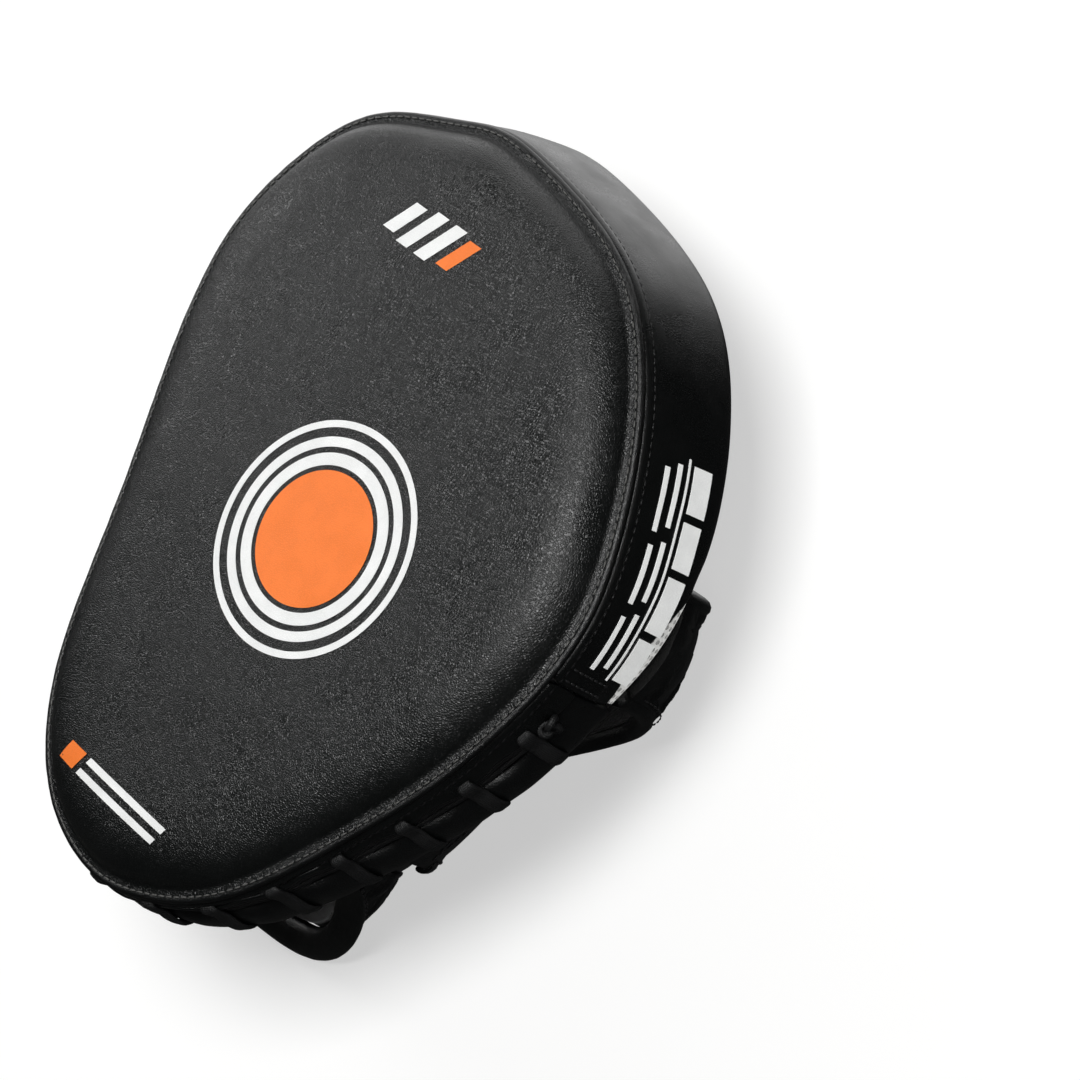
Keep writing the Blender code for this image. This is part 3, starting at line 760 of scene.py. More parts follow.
def make_welt():
    count = 480
    rows = []
    for k in range(count):
        s = SEAM_LENGTH * k / count
        puff = 0.12 * seam_noise(s, 4.5, 2.2)
        rows.append(around(12, lambda c, n: wall(
            s, -0.75 + (1.45 + puff) * c, SEAM_Z - 0.75 + (1.25 + puff) * n)))
    welt = loft("welt", rows, "edge", "mitt", ring=True)
    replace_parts(welt, "seam_welt")
    path, out = [], []
    for k in range(721):
        s = SEAM_LENGTH * k / 720
        _, _, nx, ny = rail(s)
        path.append(wall(s, -1.25, SEAM_Z + 0.55))
        out.append((-0.35 * nx, -0.35 * ny, 1))
    stitches("seam_thread", path, out, "thread_light", "mitt",
             length=2.2, gap=0.75, radius=0.27, lift=0.02)


def seam_bead(z_top=-13.7):
    """The stitched-down allowance under the seam: out, level, and back in at its stitch line."""
    return [(-0.1, z_top), (0.75, z_top - 0.9), (1.15, z_top - 2.0), (0.95, z_top - 3.1), (0.3, z_top - 3.75)]


def gusset_low(s):
    """How far the gusset's edge stops above the back, on the thumb side where it is cut on the slant."""
    x, y, _, _ = rail(s)
    return 9.0 * ease(-y, -56, -20) * (1 - 0.35 * ease(-y, -20, -4)) if x > 20 and y < 60 else 0.0


def gusset_section(s):
    _, y, _, _ = rail(s)
    zb = back_z(y)
    lift = gusset_low(s)
    roll = 1 - ease(lift, 0, 3)
    soft = 0.35 * seam_noise(s, 17, 5.0)
    low = zb + lift
    outer = seam_bead() + [(0.75, -18.6), (1.25 + soft * 0.4, -22), (1.7 + soft, -29), (1.9 + soft, -36)]
    outer += [
        (1.75 + soft * 0.5, low + 9.0), (1.3, low + 6.0), (0.3 + 0.7 * (1 - roll), low + 3.2),
        (-1.3 * roll + 0.7 * (1 - roll), low + 1.0 - 0.2 * roll),
        (-3.8 * roll + 0.2 * (1 - roll), low - 0.8 * roll),
        (-7.0 * roll - 0.4 * (1 - roll), low - 1.6 * roll),
    ]
    inner = [
        (-8.0 * roll - 1.0 * (1 - roll), low - 0.4 * roll + 0.1), (-4.2 * roll - 0.9 * (1 - roll), low + 0.4),
        (-2.6 * roll - 0.8 * (1 - roll), low + 2.4), (-1.4, low + 5.5), (-0.8, low + 9), (-0.7, -36),
        (-0.9, -29), (-1.2, -22), (-1.5, -17), (-1.6, -14.2),
    ]
    return [wall(s, o, z) for o, z in outer + inner]


def run(first, last, step):
    return spread(first, last, int(abs(last - first) / step) + 1)


def wall_direction(s, rise=0.0):
    _, _, nx, ny = rail(s)
    return nx, ny, rise


GORE_SECTION = (  # outward offset, and height over the back
    (-0.9, 13), (-0.5, 8), (-0.7, 4), (-1.6, 1.4), (-3.4, -0.5), (-7, -1.3),
    (-7.5, -0.4), (-4.2, 0.3), (-2.7, 1.9), (-1.9, 4.2), (-1.7, 8), (-2, 13),
)


def make_gusset():
    rows = [gusset_section(s) for s in run(*GUSSET_RUN, 2.2)]
    band = loft("gusset", rows, "wall", "mitt", smooth=1, sharp=0)
    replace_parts(band, "gusset_band", "gusset_rim", "lap_strip_thumb", "lap_strip_outer")
    places = run(S_THUMB - SEAM_LENGTH, S_THUMB, 1.0)
    path = [wall(s, 0.42, -17.6) for s in places]
    out = [wall_direction(s) for s in places]
    stitches("allowance_thread", path, out, "thread_dark", "mitt", length=2.2, lift=0.12)
    rows = []
    for s in run(s_at(4.5, 1), s_at(62, 1), 2.0):
        zb = back_z(rail(s)[1])
        rows.append([wall(s, o, zb + z) for o, z in GORE_SECTION])
    loft("mesh_gore", rows, "mesh_white", "mitt")
    for name, side in (("thumb", 1), ("outer", -1)):
        make_lap_stitches(name, side)


def make_lap_stitches(name, side):
    """Two rows of thread across the wall where the gusset laps over the laced side."""
    for k, back_off in enumerate((2.4, 6.6)):
        s = s_at(GUSSET_END_Y, side) + side * back_off
        bend = np.array(gusset_section(s)[5:10])
        spots = np.linspace(0, 1, len(bend))
        path = [[np.interp(t, spots, bend[:, i]) for i in range(3)] for t in spread(0, 1, 40)]
        out = [wall_direction(s)] * len(path)
        stitches(f"lap_thread_{name}_{k + 1}", path, out, "thread_dark", "mitt",
                 length=1.9, gap=0.6, radius=0.36, lift=0.12)


def gusset_stripes():
    """Generic stripes printed on the gusset's thumb side."""
    def strip(name, y0, y1, z0, z1):
        first, last = s_at(y0, 1), s_at(y1, 1)
        rows = []
        for s in run(first, last, 1.5):
            row_out, row_in = [], []
            for z in spread(z0, z1, 6):
                off = np.interp(-z, [18.6, 22, 29, 36, 41], [0.75, 1.25, 1.7, 1.9, 1.75])
                soft = 0.35 * seam_noise(s, 17, 5.0) * ease(-z, 18.6, 27)
                row_out.append(wall(s, off + soft + 0.16, z))
                row_in.append(wall(s, off + soft - 0.2, z))
            rows.append(row_out + row_in[::-1])
        loft(name, rows, "white", "mitt")

    for k, (a, b) in enumerate(((77, 64), (61.5, 48), (45.5, 29), (26.5, 12))):
        strip(f"stripe_wide_{k + 1}", a, b, -43.0, -35.2)
    strip("stripe_line", 78, 11, -33.4, -32.6)
    for k, (a, b) in enumerate(((76, 58), (54, 36), (32, 14))):
        strip(f"stripe_thin_{k + 1}", a, b, -30.2, -28.4)
        strip(f"stripe_low_{k + 1}", a - 2, b - 2, -25.4, -23.6)


# ---------------------------------------------------------------- the laced side


CORD_RADIUS = 1.15
WRAP_SECTION = (  # across and out, as shares of the half width and the thickness
    (-1, 0), (-0.9, 0.62), (-0.5, 0.95), (0, 0.8), (0.5, 0.95), (0.9, 0.62), (1, 0),
    (0.85, -0.6), (0, -0.8), (-0.85, -0.6),
)


def lace_middle(y):
    return -22.5 - 6.0 * ease(y, -120, -15)


def between_wraps(s):
    """0 at a wrap of lace, 1 midway between two."""
    return 0.5 - 0.5 * math.cos(math.tau * (s - WRAP_S[0]) / WRAP_PITCH)


def laced_ends(s):
    """1 along the laced run, easing to 0 at its two ends, where the channel closes."""
    return ease(s, WRAP_S[-1] - 13, WRAP_S[-1] - 4) * (1 - ease(s, WRAP_S[0] + 4, WRAP_S[0] + 13))


def make_front_strip():
    rows = []
    for s in run(*LACED_RUN, 1.5):
        _, y, _, _ = rail(s)
        zc = lace_middle(y)
        opened = laced_ends(s)
        edge = zc + (1.3 + 2.6 * between_wraps(s)) * opened - 0.4 * (1 - opened)
        soft = 0.3 * seam_noise(s, 7, 1.3)
        middle = (-18.2 + edge) / 2
        roll = soft + 0.7 * opened
        outer = seam_bead() + [
            (0.65, -18.2), (0.8 + soft, max(middle, edge + 3.6)), (0.9 + roll, edge + 2.3),
            (1.0 + roll, edge + 1.2), (0.5, edge + 0.2), (-0.6, edge - 0.1),
        ]
        inner = [(-1.4, edge + 0.4), (-1.3, edge + 2.0), (-1.3, middle), (-1.4, -17), (-1.5, -14.2)]
        rows.append([wall(s, o, z) for o, z in outer + inner])
    strip = loft("front_strip", rows, "wall", "mitt", smooth=1, sharp=0)
    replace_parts(strip, "front_skirt")


def roll_offset(s):
    return 2.5 + 0.75 * between_wraps(s) * laced_ends(s) + 0.35 * seam_noise(s, 9, 4.1)


def make_back_roll():
    rows = []
    for s in run(*LACED_RUN, 1.5):
        _, y, _, _ = rail(s)
        zc, zb = lace_middle(y), back_z(y)
        opened = laced_ends(s)
        top = zc - (2.6 + 1.5 * between_wraps(s)) * opened + 0.6 * (1 - opened)
        puff = roll_offset(s)
        flat = 1 - opened
        puff = puff * (1 - flat) + 0.7 * flat
        fold = 16.5 + 1.6 * seam_noise(s, 9, 7.7) + 0.8 * math.sin(s / 3.9)
        ripple = 0.5 * seam_noise(s, 6, 3.3)
        outer = [
            (-2.6, top - 0.6), (-1.4, top + 0.2), (0.1, top - 0.1), (puff * 0.7, top - 1.6),
            (puff * 0.95, top - 4.4), (puff, (top + zb) / 2), (puff * 0.9, zb + 5.0), (puff * 0.55, zb + 1.6),
            (-1.2, zb - 1.3), (-4.5, zb - 2.3 + ripple * 0.3), (-9.0, zb - 2.5 + ripple),
            (-fold + 1, zb - 2.4 + ripple), (-fold, zb - 1.7),
        ]
        inner = [
            (-fold + 1, zb - 0.7), (-9.0, zb - 0.6), (-4.5, zb - 0.5), (-2.2, zb + 0.6), (-0.9, zb + 3.0),
            (puff - 1.9, zb + 6.5), (puff - 1.7, (top + zb) / 2), (puff * 0.95 - 1.7, top - 4.8),
            (-0.9, top - 2.2), (-2.5, top - 1.6),
        ]
        rows.append([wall(s, o, z) for o, z in outer + inner])
    roll = loft("back_roll", rows, "soft", "mitt", smooth=1, sharp=0)
    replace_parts(roll, "back_skirt")


def make_tongue():
    rows = []
    for s in run(LACED_RUN[0] + 4, LACED_RUN[1] - 4, 4):
        zc = lace_middle(rail(s)[1])
        section = [(-3.2, zc + 7), (-2.9, zc + 7), (-2.9, zc - 9), (-3.9, zc - 9), (-3.9, zc + 7)]
        rows.append([wall(s, o, z) for o, z in section])
    loft("tongue", rows, "mesh_black", "mitt")


def make_laces():
    for name, node, side in (("front", "lace_front", 1), ("rear", "lace_rear", -1)):
        path = []
        for s in run(WRAP_S[-1] - 6, WRAP_S[0] + 6, 2.0):
            bow = between_wraps(s)
            offset = -0.3 - 0.5 * bow + 0.15 * seam_noise(s, 5, side)
            path.append(wall(s, offset, lace_middle(rail(s)[1]) - 0.4 + side * (1.25 + 0.3 * bow)))
        cord = loft(f"cord_{name}", tube_rows(path, CORD_RADIUS), "lace", "mitt", sharp=0)
        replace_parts(cord, node)
    rng = random.Random(7)
    for k, s in enumerate(WRAP_S):
        make_wrap(k, s, rng)
    for name, s in (("thumb", WRAP_S[0] + 7.5), ("outer", WRAP_S[-1] - 7.5)):
        make_knot(name, s)


def make_wrap(k, s, rng):
    """A flat turn of lace: out of its hole, over the channel and the roll, and in behind."""
    _, y, _, _ = rail(s)
    zc, zb = lace_middle(y), back_z(y)
    high = zc + 5.4 + rng.uniform(-0.4, 0.4)
    puff = roll_offset(s)
    line = [
        (-0.6, high + 0.6), (0.7, high + 0.9), (1.8, high + 0.4), (2.0, high - 1.6), (1.8, zc + 0.5),
        (1.9, zc - 2.4), (puff + 0.3, zc - 5.0), (puff + 1.0, zc - 8.5), (puff + 1.1, (zc + zb) / 2 - 3),
        (puff + 0.7, zb + 6.0), (puff - 0.2, zb + 3.4), (puff - 1.6, zb + 1.6),
    ]
    lean = rng.uniform(-1.2, 1.2)
    half = 2.9 + rng.uniform(-0.2, 0.2)
    last = len(line) - 1
    rows = []
    for i, (offset, z) in enumerate(line):
        shift = lean * (i / last - 0.5)
        wide = half * (0.72 if i in (0, last) else 0.86 if i in (1, last - 1) else 1.0)
        thick = 1.35 if 0 < i < 4 else 0.95
        before, after = line[max(i - 1, 0)], line[min(i + 1, last)]
        d_off, d_z = after[0] - before[0], after[1] - before[1]
        size = math.hypot(d_off, d_z)
        n_off, n_z = -d_z / size, d_off / size
        rows.append([
            wall(s + shift + u * wide, offset + n_off * v * thick, z + n_z * v * thick)
            for u, v in WRAP_SECTION
        ])
    made = loft(f"wrap_{k + 1:02d}", rows, "lace", "mitt", smooth=1, sharp=0)
    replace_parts(made, f"lace_wrap_{k + 1:02d}")


def make_knot(name, s):
    """An overhand knot with its two short ends."""
    _, y, nx, ny = rail(s)
    zc = lace_middle(y)
    centre = np.array(wall(s, 2.0, zc + 0.6))
    along = np.array((-ny, nx, 0.0))
    out = np.array((nx, ny, 0.0))
    up = np.array((0.0, 0.0, 1.0))
    path = []
    for i in range(49):
        t = math.tau * i / 48 * 0.94 + 0.2
        a = math.sin(t) + 2 * math.sin(2 * t)
        b = math.cos(t) - 2 * math.cos(2 * t)
        c = -math.sin(3 * t)
        path.append(tuple(centre + along * a * 1.15 + up * b * 1.25 + out * c * 1.0))
    made = loft(f"knot_{name}", tube_rows(path, CORD_RADIUS), "lace", "mitt", sharp=0)
    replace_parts(made, f"lace_knot_{name}")


# ---------------------------------------------------------------- the hood and the palm

ARCH = spread(30, 150, 61)
HOOD_YS = spread(-33.5, 132, 72)
HOOD_THICK = 4.0
HOOD_MOUTH_Y = -33.5
HOOD_SEAMS = (57.0, 123.0)
HOOD_CROSS_SEAMS = (-24.0, 66.0)


def hood_puff(angle, y):
    """Padding of the hood's top panel between its two long seams, with a sewn channel across it."""
    low, high = HOOD_SEAMS
    side = ease(angle, 30, 52) * (1 - ease(angle, 128, 150))
    puff = through(y, HOOD_PADDING) * side
    groove = 0.0
    for seam in HOOD_SEAMS:
        groove += 1.9 * math.exp(-((angle - seam) / 2.6) ** 2)
    for seam in HOOD_CROSS_SEAMS:
        groove += 1.7 * math.exp(-((y - seam) / 2.4) ** 2) * ease(angle, 52, 60) * (1 - ease(angle, 120, 128))
    between = 1.3 * math.sin(math.pi * min(max((angle - 30) / 27, 0), 1)) if angle < low else 0.0
    if angle > high:
        between = 1.3 * math.sin(math.pi * min(max((150 - angle) / 27, 0), 1))
    fade = 1 - ease(y, 100, 130)
    return puff + (between - groove + 0.7 * wobble(angle / 2, y, 0, 13, 4.4)) * fade


def dome_grid(angles, ys, offset):
    return [[dome_point(a, y, offset(a, y) if callable(offset) else offset) for a in angles] for y in ys]


def dome_shell(name, angles, ys, outer, inner, look, body, **options):
    return shell(name, dome_grid(angles, ys, outer), dome_grid(angles, ys, inner), look, body, **options)


def dome_out(angle):
    return cosd(angle), 0.0, -sind(angle)


def dome_thread(name, places, offset, body, **options):
    """Dark thread along (angle, y) places on the dome."""
    path = [dome_point(a, y, offset(a, y) if callable(offset) else offset) for a, y in places]
    out = [dome_out(a) for a, _ in places]
    return stitches(name, path, out, "thread_dark", body, **options)


def mouth_puff(angle):
    return max(hood_puff(angle, HOOD_MOUTH_Y), 0) if 30 <= angle <= 150 else 0.0


def side_puff(angle, y):
    low = 29 if angle < 90 else 151
    return -0.3 + 0.9 * math.sin(math.pi * abs(angle - low) / 30) + 0.3 * wobble(angle, y, 0, 11, 1.7)


def hood_sewn(i, j):
    """Whether a seam holds that point of the hood's grid."""
    angle, y = ARCH[j], HOOD_YS[i]
    edge = i in (0, len(HOOD_YS) - 1) or j in (0, len(ARCH) - 1)
    along = min(abs(angle - seam) for seam in HOOD_SEAMS) < 1.1
    across = min(abs(y - seam) for seam in HOOD_CROSS_SEAMS) < 1.3 and 56 < angle < 124
    return edge or along or across or y > 116


def make_hood():
    cover = dome_shell("hood_pad", ARCH, HOOD_YS, hood_puff, -HOOD_THICK, "soft", None, sharp=60)
    inflate(cover, skin_pins(len(HOOD_YS), len(ARCH), hood_sewn), pressure=3.0, cap=3.0)
    settle(cover)
    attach(cover, "mitt")
    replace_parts(cover, "hood_cover", "hood_lining")
    rows = [[(a, y) for y in spread(-30, 108, 90)] for a in (54.2, 59.8, 120.2, 125.8)]
    for k, places in enumerate(rows):
        dome_thread(f"hood_thread_{k + 1}", places, hood_puff, "mitt", lift=0.25, radius=0.32)
    rows = [[(a, y) for a in spread(61, 119, 60)] for y in (-26.5, 63.5, 68.5)]
    for k, places in enumerate(rows):
        dome_thread(f"hood_cross_{k + 1}", places, hood_puff, "mitt", lift=0.25, radius=0.32)
    make_hood_sides()
    make_hood_mouth()
    make_palm()


def make_hood_sides():
    """The mesh and leather sides, the piping over their upper seams, and the zigzag stitching."""
    ys = spread(HOOD_MOUTH_Y, 120, 50)
    for name, node, low, high, thick, look in (
        ("hood_mesh", "hood_side_thumb", 0, 29.5, 1.6, "mesh_white"),
        ("hood_side", "hood_side_outer", 150.5, 180, 2.2, "soft"),
    ):
        side = dome_shell(name, spread(low, high, 13), ys, side_puff,
                          lambda a, y: side_puff(a, y) - thick, look, "mitt")
        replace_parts(side, node)
    for k, angle in enumerate((29.8, 150.2)):
        path = [dome_point(angle, y, 0.2) for y in spread(HOOD_MOUTH_Y, 126, 110)]
        loft(f"hood_piping_{k + 1}", tube_rows(path, 1.5), "edge", "mitt", sharp=0)
    corners = [(154 if k % 2 else 172, y) for k, y in enumerate(spread(-28, 40, 8))]
    dome_thread("side_zigzag", polyline(corners, 14), side_puff, "mitt", lift=0.2, radius=0.34)


def make_hood_mouth():
    """The bound edge where the fingers go in."""
    rows = []
    for angle in spread(2, 178, 90):
        middle = mouth_puff(angle) - 1.9
        rows.append(around(12, lambda c, s: dome_point(angle, -36.0 + 2.7 * c, middle + 3.0 * s)))
    binding = loft("mouth_binding", rows, "edge", "mitt", sharp=0)
    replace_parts(binding, "hood_binding")
    places = [(a, -34.3) for a in spread(8, 172, 140)]
    dome_thread("mouth_thread", places, lambda a, y: mouth_puff(a) + 0.65, "mitt", lift=0.1, radius=0.3)


def make_palm():
    rows = []
    for y in spread(-33, 7, 24):
        lobe = math.sin(math.pi * (y + 34.5) / 43) ** 0.55
        base = back_z(y) - GAP
        xs = spread(-39, 31, 30)
        top = []
        for x in xs:
            swell = 11.5 * lobe * max(1 - abs((x + 4) / 36) ** 3.4, 0)
            top.append((x, y, base - 0.8 - swell - 0.4 * wobble(x, y, 0, 9, 6.1)))
        rows.append(top + [(x, y, base) for x in xs[::-1]])
    pad = loft("palm_roll", rows, "suede", "mitt")
    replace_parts(pad, "palm_pad")


# ---------------------------------------------------------------- the thumb loop

THUMB_LOOP_Y = (-28.0, 44.0)
THUMB_LOOP_SLANT = 34.0
THUMB_LOOP_ROOT_X = 56.0
THUMB_LOOP_HEIGHT = 42.0
THUMB_LOOP_SQUARENESS = 0.65


def thumb_point(share, angle, offset):
    cos_a = cosd(angle) ** THUMB_LOOP_SQUARENESS
    sin_a = sind(angle) ** THUMB_LOOP_SQUARENESS
    mouth_y = THUMB_LOOP_Y[0] + THUMB_LOOP_SLANT * cos_a
    y = mouth_y + (THUMB_LOOP_Y[1] - mouth_y) * share
    x, _, nx, _ = rail(s_at(y, 1))
    wide = x + flare(y, -23) * nx - 1.5 - THUMB_LOOP_ROOT_X + offset
    high = THUMB_LOOP_HEIGHT * (1 - ((y - 8) / 75) ** 2) + offset
    return THUMB_LOOP_ROOT_X + wide * cos_a, y, back_z(y) - GAP - high * sin_a


def make_thumb_loop():
    angles = spread(2, 87, 36)
    shares = spread(0.06, 1, 30)

    def puff(share, angle):
        swell = 1.6 * math.sin(math.pi * min(max((share - 0.1) / 0.84, 0), 1)) ** 0.7
        return swell + 0.35 * wobble(share * 60, angle, 0, 12, 9.2)

    def grid(offset):
        return [[thumb_point(s, a, offset) for a in angles] for s in shares]

    outer = [[thumb_point(s, a, puff(s, a)) for a in angles] for s in shares]
    loop = shell("thumb_pad", outer, grid(-4.4), "soft", None)
    held = skin_pins(len(shares), len(angles), lambda i, j: i in (0, 1, 29) or j in (0, 35))
    inflate(loop, held, pressure=3.0, cap=2.5)
    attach(loop, "mitt")
    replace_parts(loop, "thumb_loop")
    lining = shell("thumb_lining", grid(-4.8), grid(-5.9), "mesh_black", "mitt")
    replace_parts(lining, "thumb_loop_lining")
    for k, share in enumerate((0.03, 0.985)):
        rows = []
        for a in spread(0.5, 88.5, 50):
            section = []
            for i in range(12):
                turn = math.tau * i / 12
                p = thumb_point(share, a, -2.3 + 3.1 * math.sin(turn))
                section.append((p[0], p[1] + 3.0 * math.cos(turn), p[2]))
            rows.append(section)
        loft(f"thumb_edge_{k + 1}", rows, "edge", "mitt", sharp=0)
    places = spread(6, 84, 70)
    path = [thumb_point(0.115, a, 0.9) for a in places]
    stitches("thumb_thread", path, [dome_out(a) for a in places], "thread_dark", "mitt", radius=0.3)


# ---------------------------------------------------------------- the hand strap

STRAP_LOW, STRAP_HIGH = 2.5, 5.0
WING_Y = (-72.5, -38.5)
PATCH_ARC = (66.0, 112.0)
PATCH_Y = (-69.0, -38.0)
STRAP_MIDDLE = (STRAP_Y[0] + STRAP_Y[1]) / 2
STRAP_ARC = spread(STRAP_HINGE_ANGLE - 0.5, 150, 86)


def place(point):
    """A design-frame point in the row frame, in metres."""
    return tuple(np.array(point) * MM + ORIGIN)


def across_hinge(piece):
    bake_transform(piece)
    return piece


def make_strap():
    def top(angle, y):
        from_edge = min(y - STRAP_Y[0], STRAP_Y[1] - y)
        fold = 0.75 * (1 - ease(from_edge, 6.0, 7.6)) - 0.5 * math.exp(-((from_edge - 7.3) / 0.7) ** 2)
        return STRAP_HIGH - 0.5 + fold + 0.3 * wobble(angle / 1.5, y, 0, 15, 2.9)

    def thread_top(angle, y):
        return top(angle, y) + 0.05

    middle = spread(STRAP_Y[0] + 2.8, STRAP_Y[1] - 2.8, 22)
    band = dome_shell("strap_band", STRAP_ARC, middle, top, STRAP_LOW, "soft", None)
    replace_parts(band, "hand_strap")
    across_hinge(band)
    for name, y in (("rear", STRAP_Y[0] + 2.2), ("front", STRAP_Y[1] - 2.2)):
        rows = [
            around(14, lambda c, s: dome_point(a, y + 2.3 * blunt(c, 0.8), 3.85 + 1.85 * blunt(s, 0.8)))
            for a in STRAP_ARC
        ]
        edge = loft(f"strap_edge_{name}", rows, "edge", None, sharp=0)
        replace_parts(edge, f"strap_binding_{name}")
        across_hinge(edge)
    for k, y in enumerate((STRAP_Y[0] + 5.4, STRAP_Y[1] - 5.4)):
        places = [(a, y) for a in STRAP_ARC[1:]]
        across_hinge(dome_thread(f"strap_thread_{k + 1}", places, thread_top, None, radius=0.3))
    end_row = [(148.2, y) for y in spread(STRAP_Y[0] + 6, STRAP_Y[1] - 6, 30)]
    dome_thread("strap_thread_end", end_row, thread_top, "strap", radius=0.3)
    make_patch()
    make_closure()
    make_anchor()
    make_wing()


def make_closure():
    """The two halves of the hook-and-loop closure."""
    def loops(angle, y):
        return 0.8 + 0.12 * wobble(angle, y, 0, 1.4)

    def hooks(angle, y):
        return 1.3 + 0.1 * wobble(angle, y, 0, 1.2)

    angles, ys = spread(132, 159, 24), spread(-68, -44, 14)
    pad = dome_shell("loop_pad", angles, ys, loops, -0.35, "loop", "mitt")
    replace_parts(pad, "strap_loop_pad")
    angles, ys = spread(132, 149.5, 20), spread(-66, -46, 12)
    pad = dome_shell("hook_pad", angles, ys, STRAP_LOW - GAP, hooks, "hook", "strap")
    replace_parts(pad, "strap_hook_pad")


def make_anchor():
    """The strap's sewn base, with its crossed stitching."""
    def top(angle, y):
        return STRAP_HIGH - 0.2 + 0.35 * wobble(angle, y, 0, 14, 3.3)

    angles, ys = spread(1.5, STRAP_HINGE_ANGLE - 0.2, 14), spread(-73.5, -33.5, 16)
    anchor = dome_shell("anchor_flap", angles, ys, top, 1.2, "soft", "mitt")
    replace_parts(anchor, "strap_anchor")
    cross = polyline([(5, -70), (19, -37), (19, -70), (5, -37), (5, -70)], 16)
    dome_thread("anchor_cross", cross, lambda a, y: top(a, y) + 0.05, "mitt", radius=0.34)


def make_wing():
    """The side panel that the strap closes on."""
    def top(angle, y):
        return -0.5 + 0.25 * wobble(angle, y, 0, 12, 5.5)

    low, high = WING_Y
    angles, ys = spread(127.5, 179, 34), spread(low, high, 18)
    wing = dome_shell("wing_flap", angles, ys, top, -3.4, "soft", "mitt")
    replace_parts(wing, "outer_wing")
    for k, inset in enumerate((1.8, 4.6)):
        corner = 129 + inset
        path = [(178, high - inset)] + [(a, high - inset) for a in spread(176, corner, 30)]
        path += [(corner, y) for y in spread(high - inset, low + inset, 20)[1:]]
        path += [(a, low + inset) for a in spread(corner, 178, 30)[1:]]
        dome_thread(f"wing_thread_{k + 1}", path, lambda a, y: top(a, y) + 0.05, "mitt", radius=0.3)


def make_patch():
    """A moulded rubber patch with a raised rim and plain chevrons."""
    def top(angle, y):
        u = min(angle - PATCH_ARC[0], PATCH_ARC[1] - angle) * 1.02
        v = min(y - PATCH_Y[0], PATCH_Y[1] - y)
        edge = min(u, v)
        return STRAP_HIGH + 0.6 + 1.0 * ease(edge, 0, 0.9) - 0.45 * ease(edge, 1.6, 2.1)

    angles, ys = spread(*PATCH_ARC, 70), spread(*PATCH_Y, 44)
    patch = dome_shell("rubber_patch", angles, ys, top, STRAP_HIGH + 0.1, "rubber", "strap", sharp=0)
    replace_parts(patch, "strap_patch")
    middle = (PATCH_ARC[0] + PATCH_ARC[1]) / 2
    for k, (shift, look) in enumerate(((-9.0, "white"), (-2.0, "white"), (5.0, "orange"))):
        rows = []
        for v in spread(-9, 9, 19):
            a_mid = middle + shift + 6.5 * (1 - abs(v) / 9)
            rows.append([(a_mid + w, STRAP_MIDDLE + v) for w in spread(-1.9, 1.9, 4)])
        high, low = (
            [[dome_point(a, y, STRAP_HIGH + lift) for a, y in row] for row in rows] for lift in (1.55, 0.9)
        )
        shell(f"patch_chevron_{k + 1}", high, low, look, "strap", sharp=30)


# ---------------------------------------------------------------- the wrist cuff

CUFF_THICKNESS = 8.0
CUFF_FLARE = 11.0
CUFF_ANGLES = spread(5, 175, 90)


def cuff_y(angle, t):
    edge = CUFF_SIDE_Y + (CUFF_EDGE_Y - CUFF_SIDE_Y) * sind(angle) ** 1.3
    return CUFF_HINGE_Y + (edge - CUFF_HINGE_Y) * t


def cuff_point(angle, t, offset):
    away = CUFF_FLARE * t * t * sind(angle) ** 2
    return dome_point(angle, cuff_y(angle, t), offset + away)


def cuff_grid(ts, offset):
    return [[cuff_point(a, t, offset(a, t)) for a in CUFF_ANGLES] for t in ts]


def with_cuff(piece):
    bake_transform(piece)
    return piece


def make_cuff_edge():
    """The rolled rim and the two rows of thread beside it."""
    rows = []
    for angle in CUFF_ANGLES:
        section = []
        for i in range(22):
            turn = math.tau * i / 22
            t = 0.865 + 0.125 * blunt(math.cos(turn), 0.75)
            thick = 4.9 + 0.3 * wobble(angle / 1.2, 0, i, 7, 2.4)
            section.append(cuff_point(angle, t, -3.8 + thick * blunt(math.sin(turn), 0.8)))
        rows.append(section)
    edge = loft("cuff_edge", rows, "edge", None, sharp=0)
    settle(edge)
    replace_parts(edge, "cuff_binding")
    with_cuff(edge)
    angles = spread(10, 170, 200)
    out = [dome_out(a) for a in angles]
    for k, (t, lift) in enumerate(((0.715, 0.05), (0.772, 0.3))):
        path = [cuff_point(a, t, lift) for a in angles]
        with_cuff(stitches(f"cuff_thread_{k + 1}", path, out, "thread_dark", None, radius=0.34))


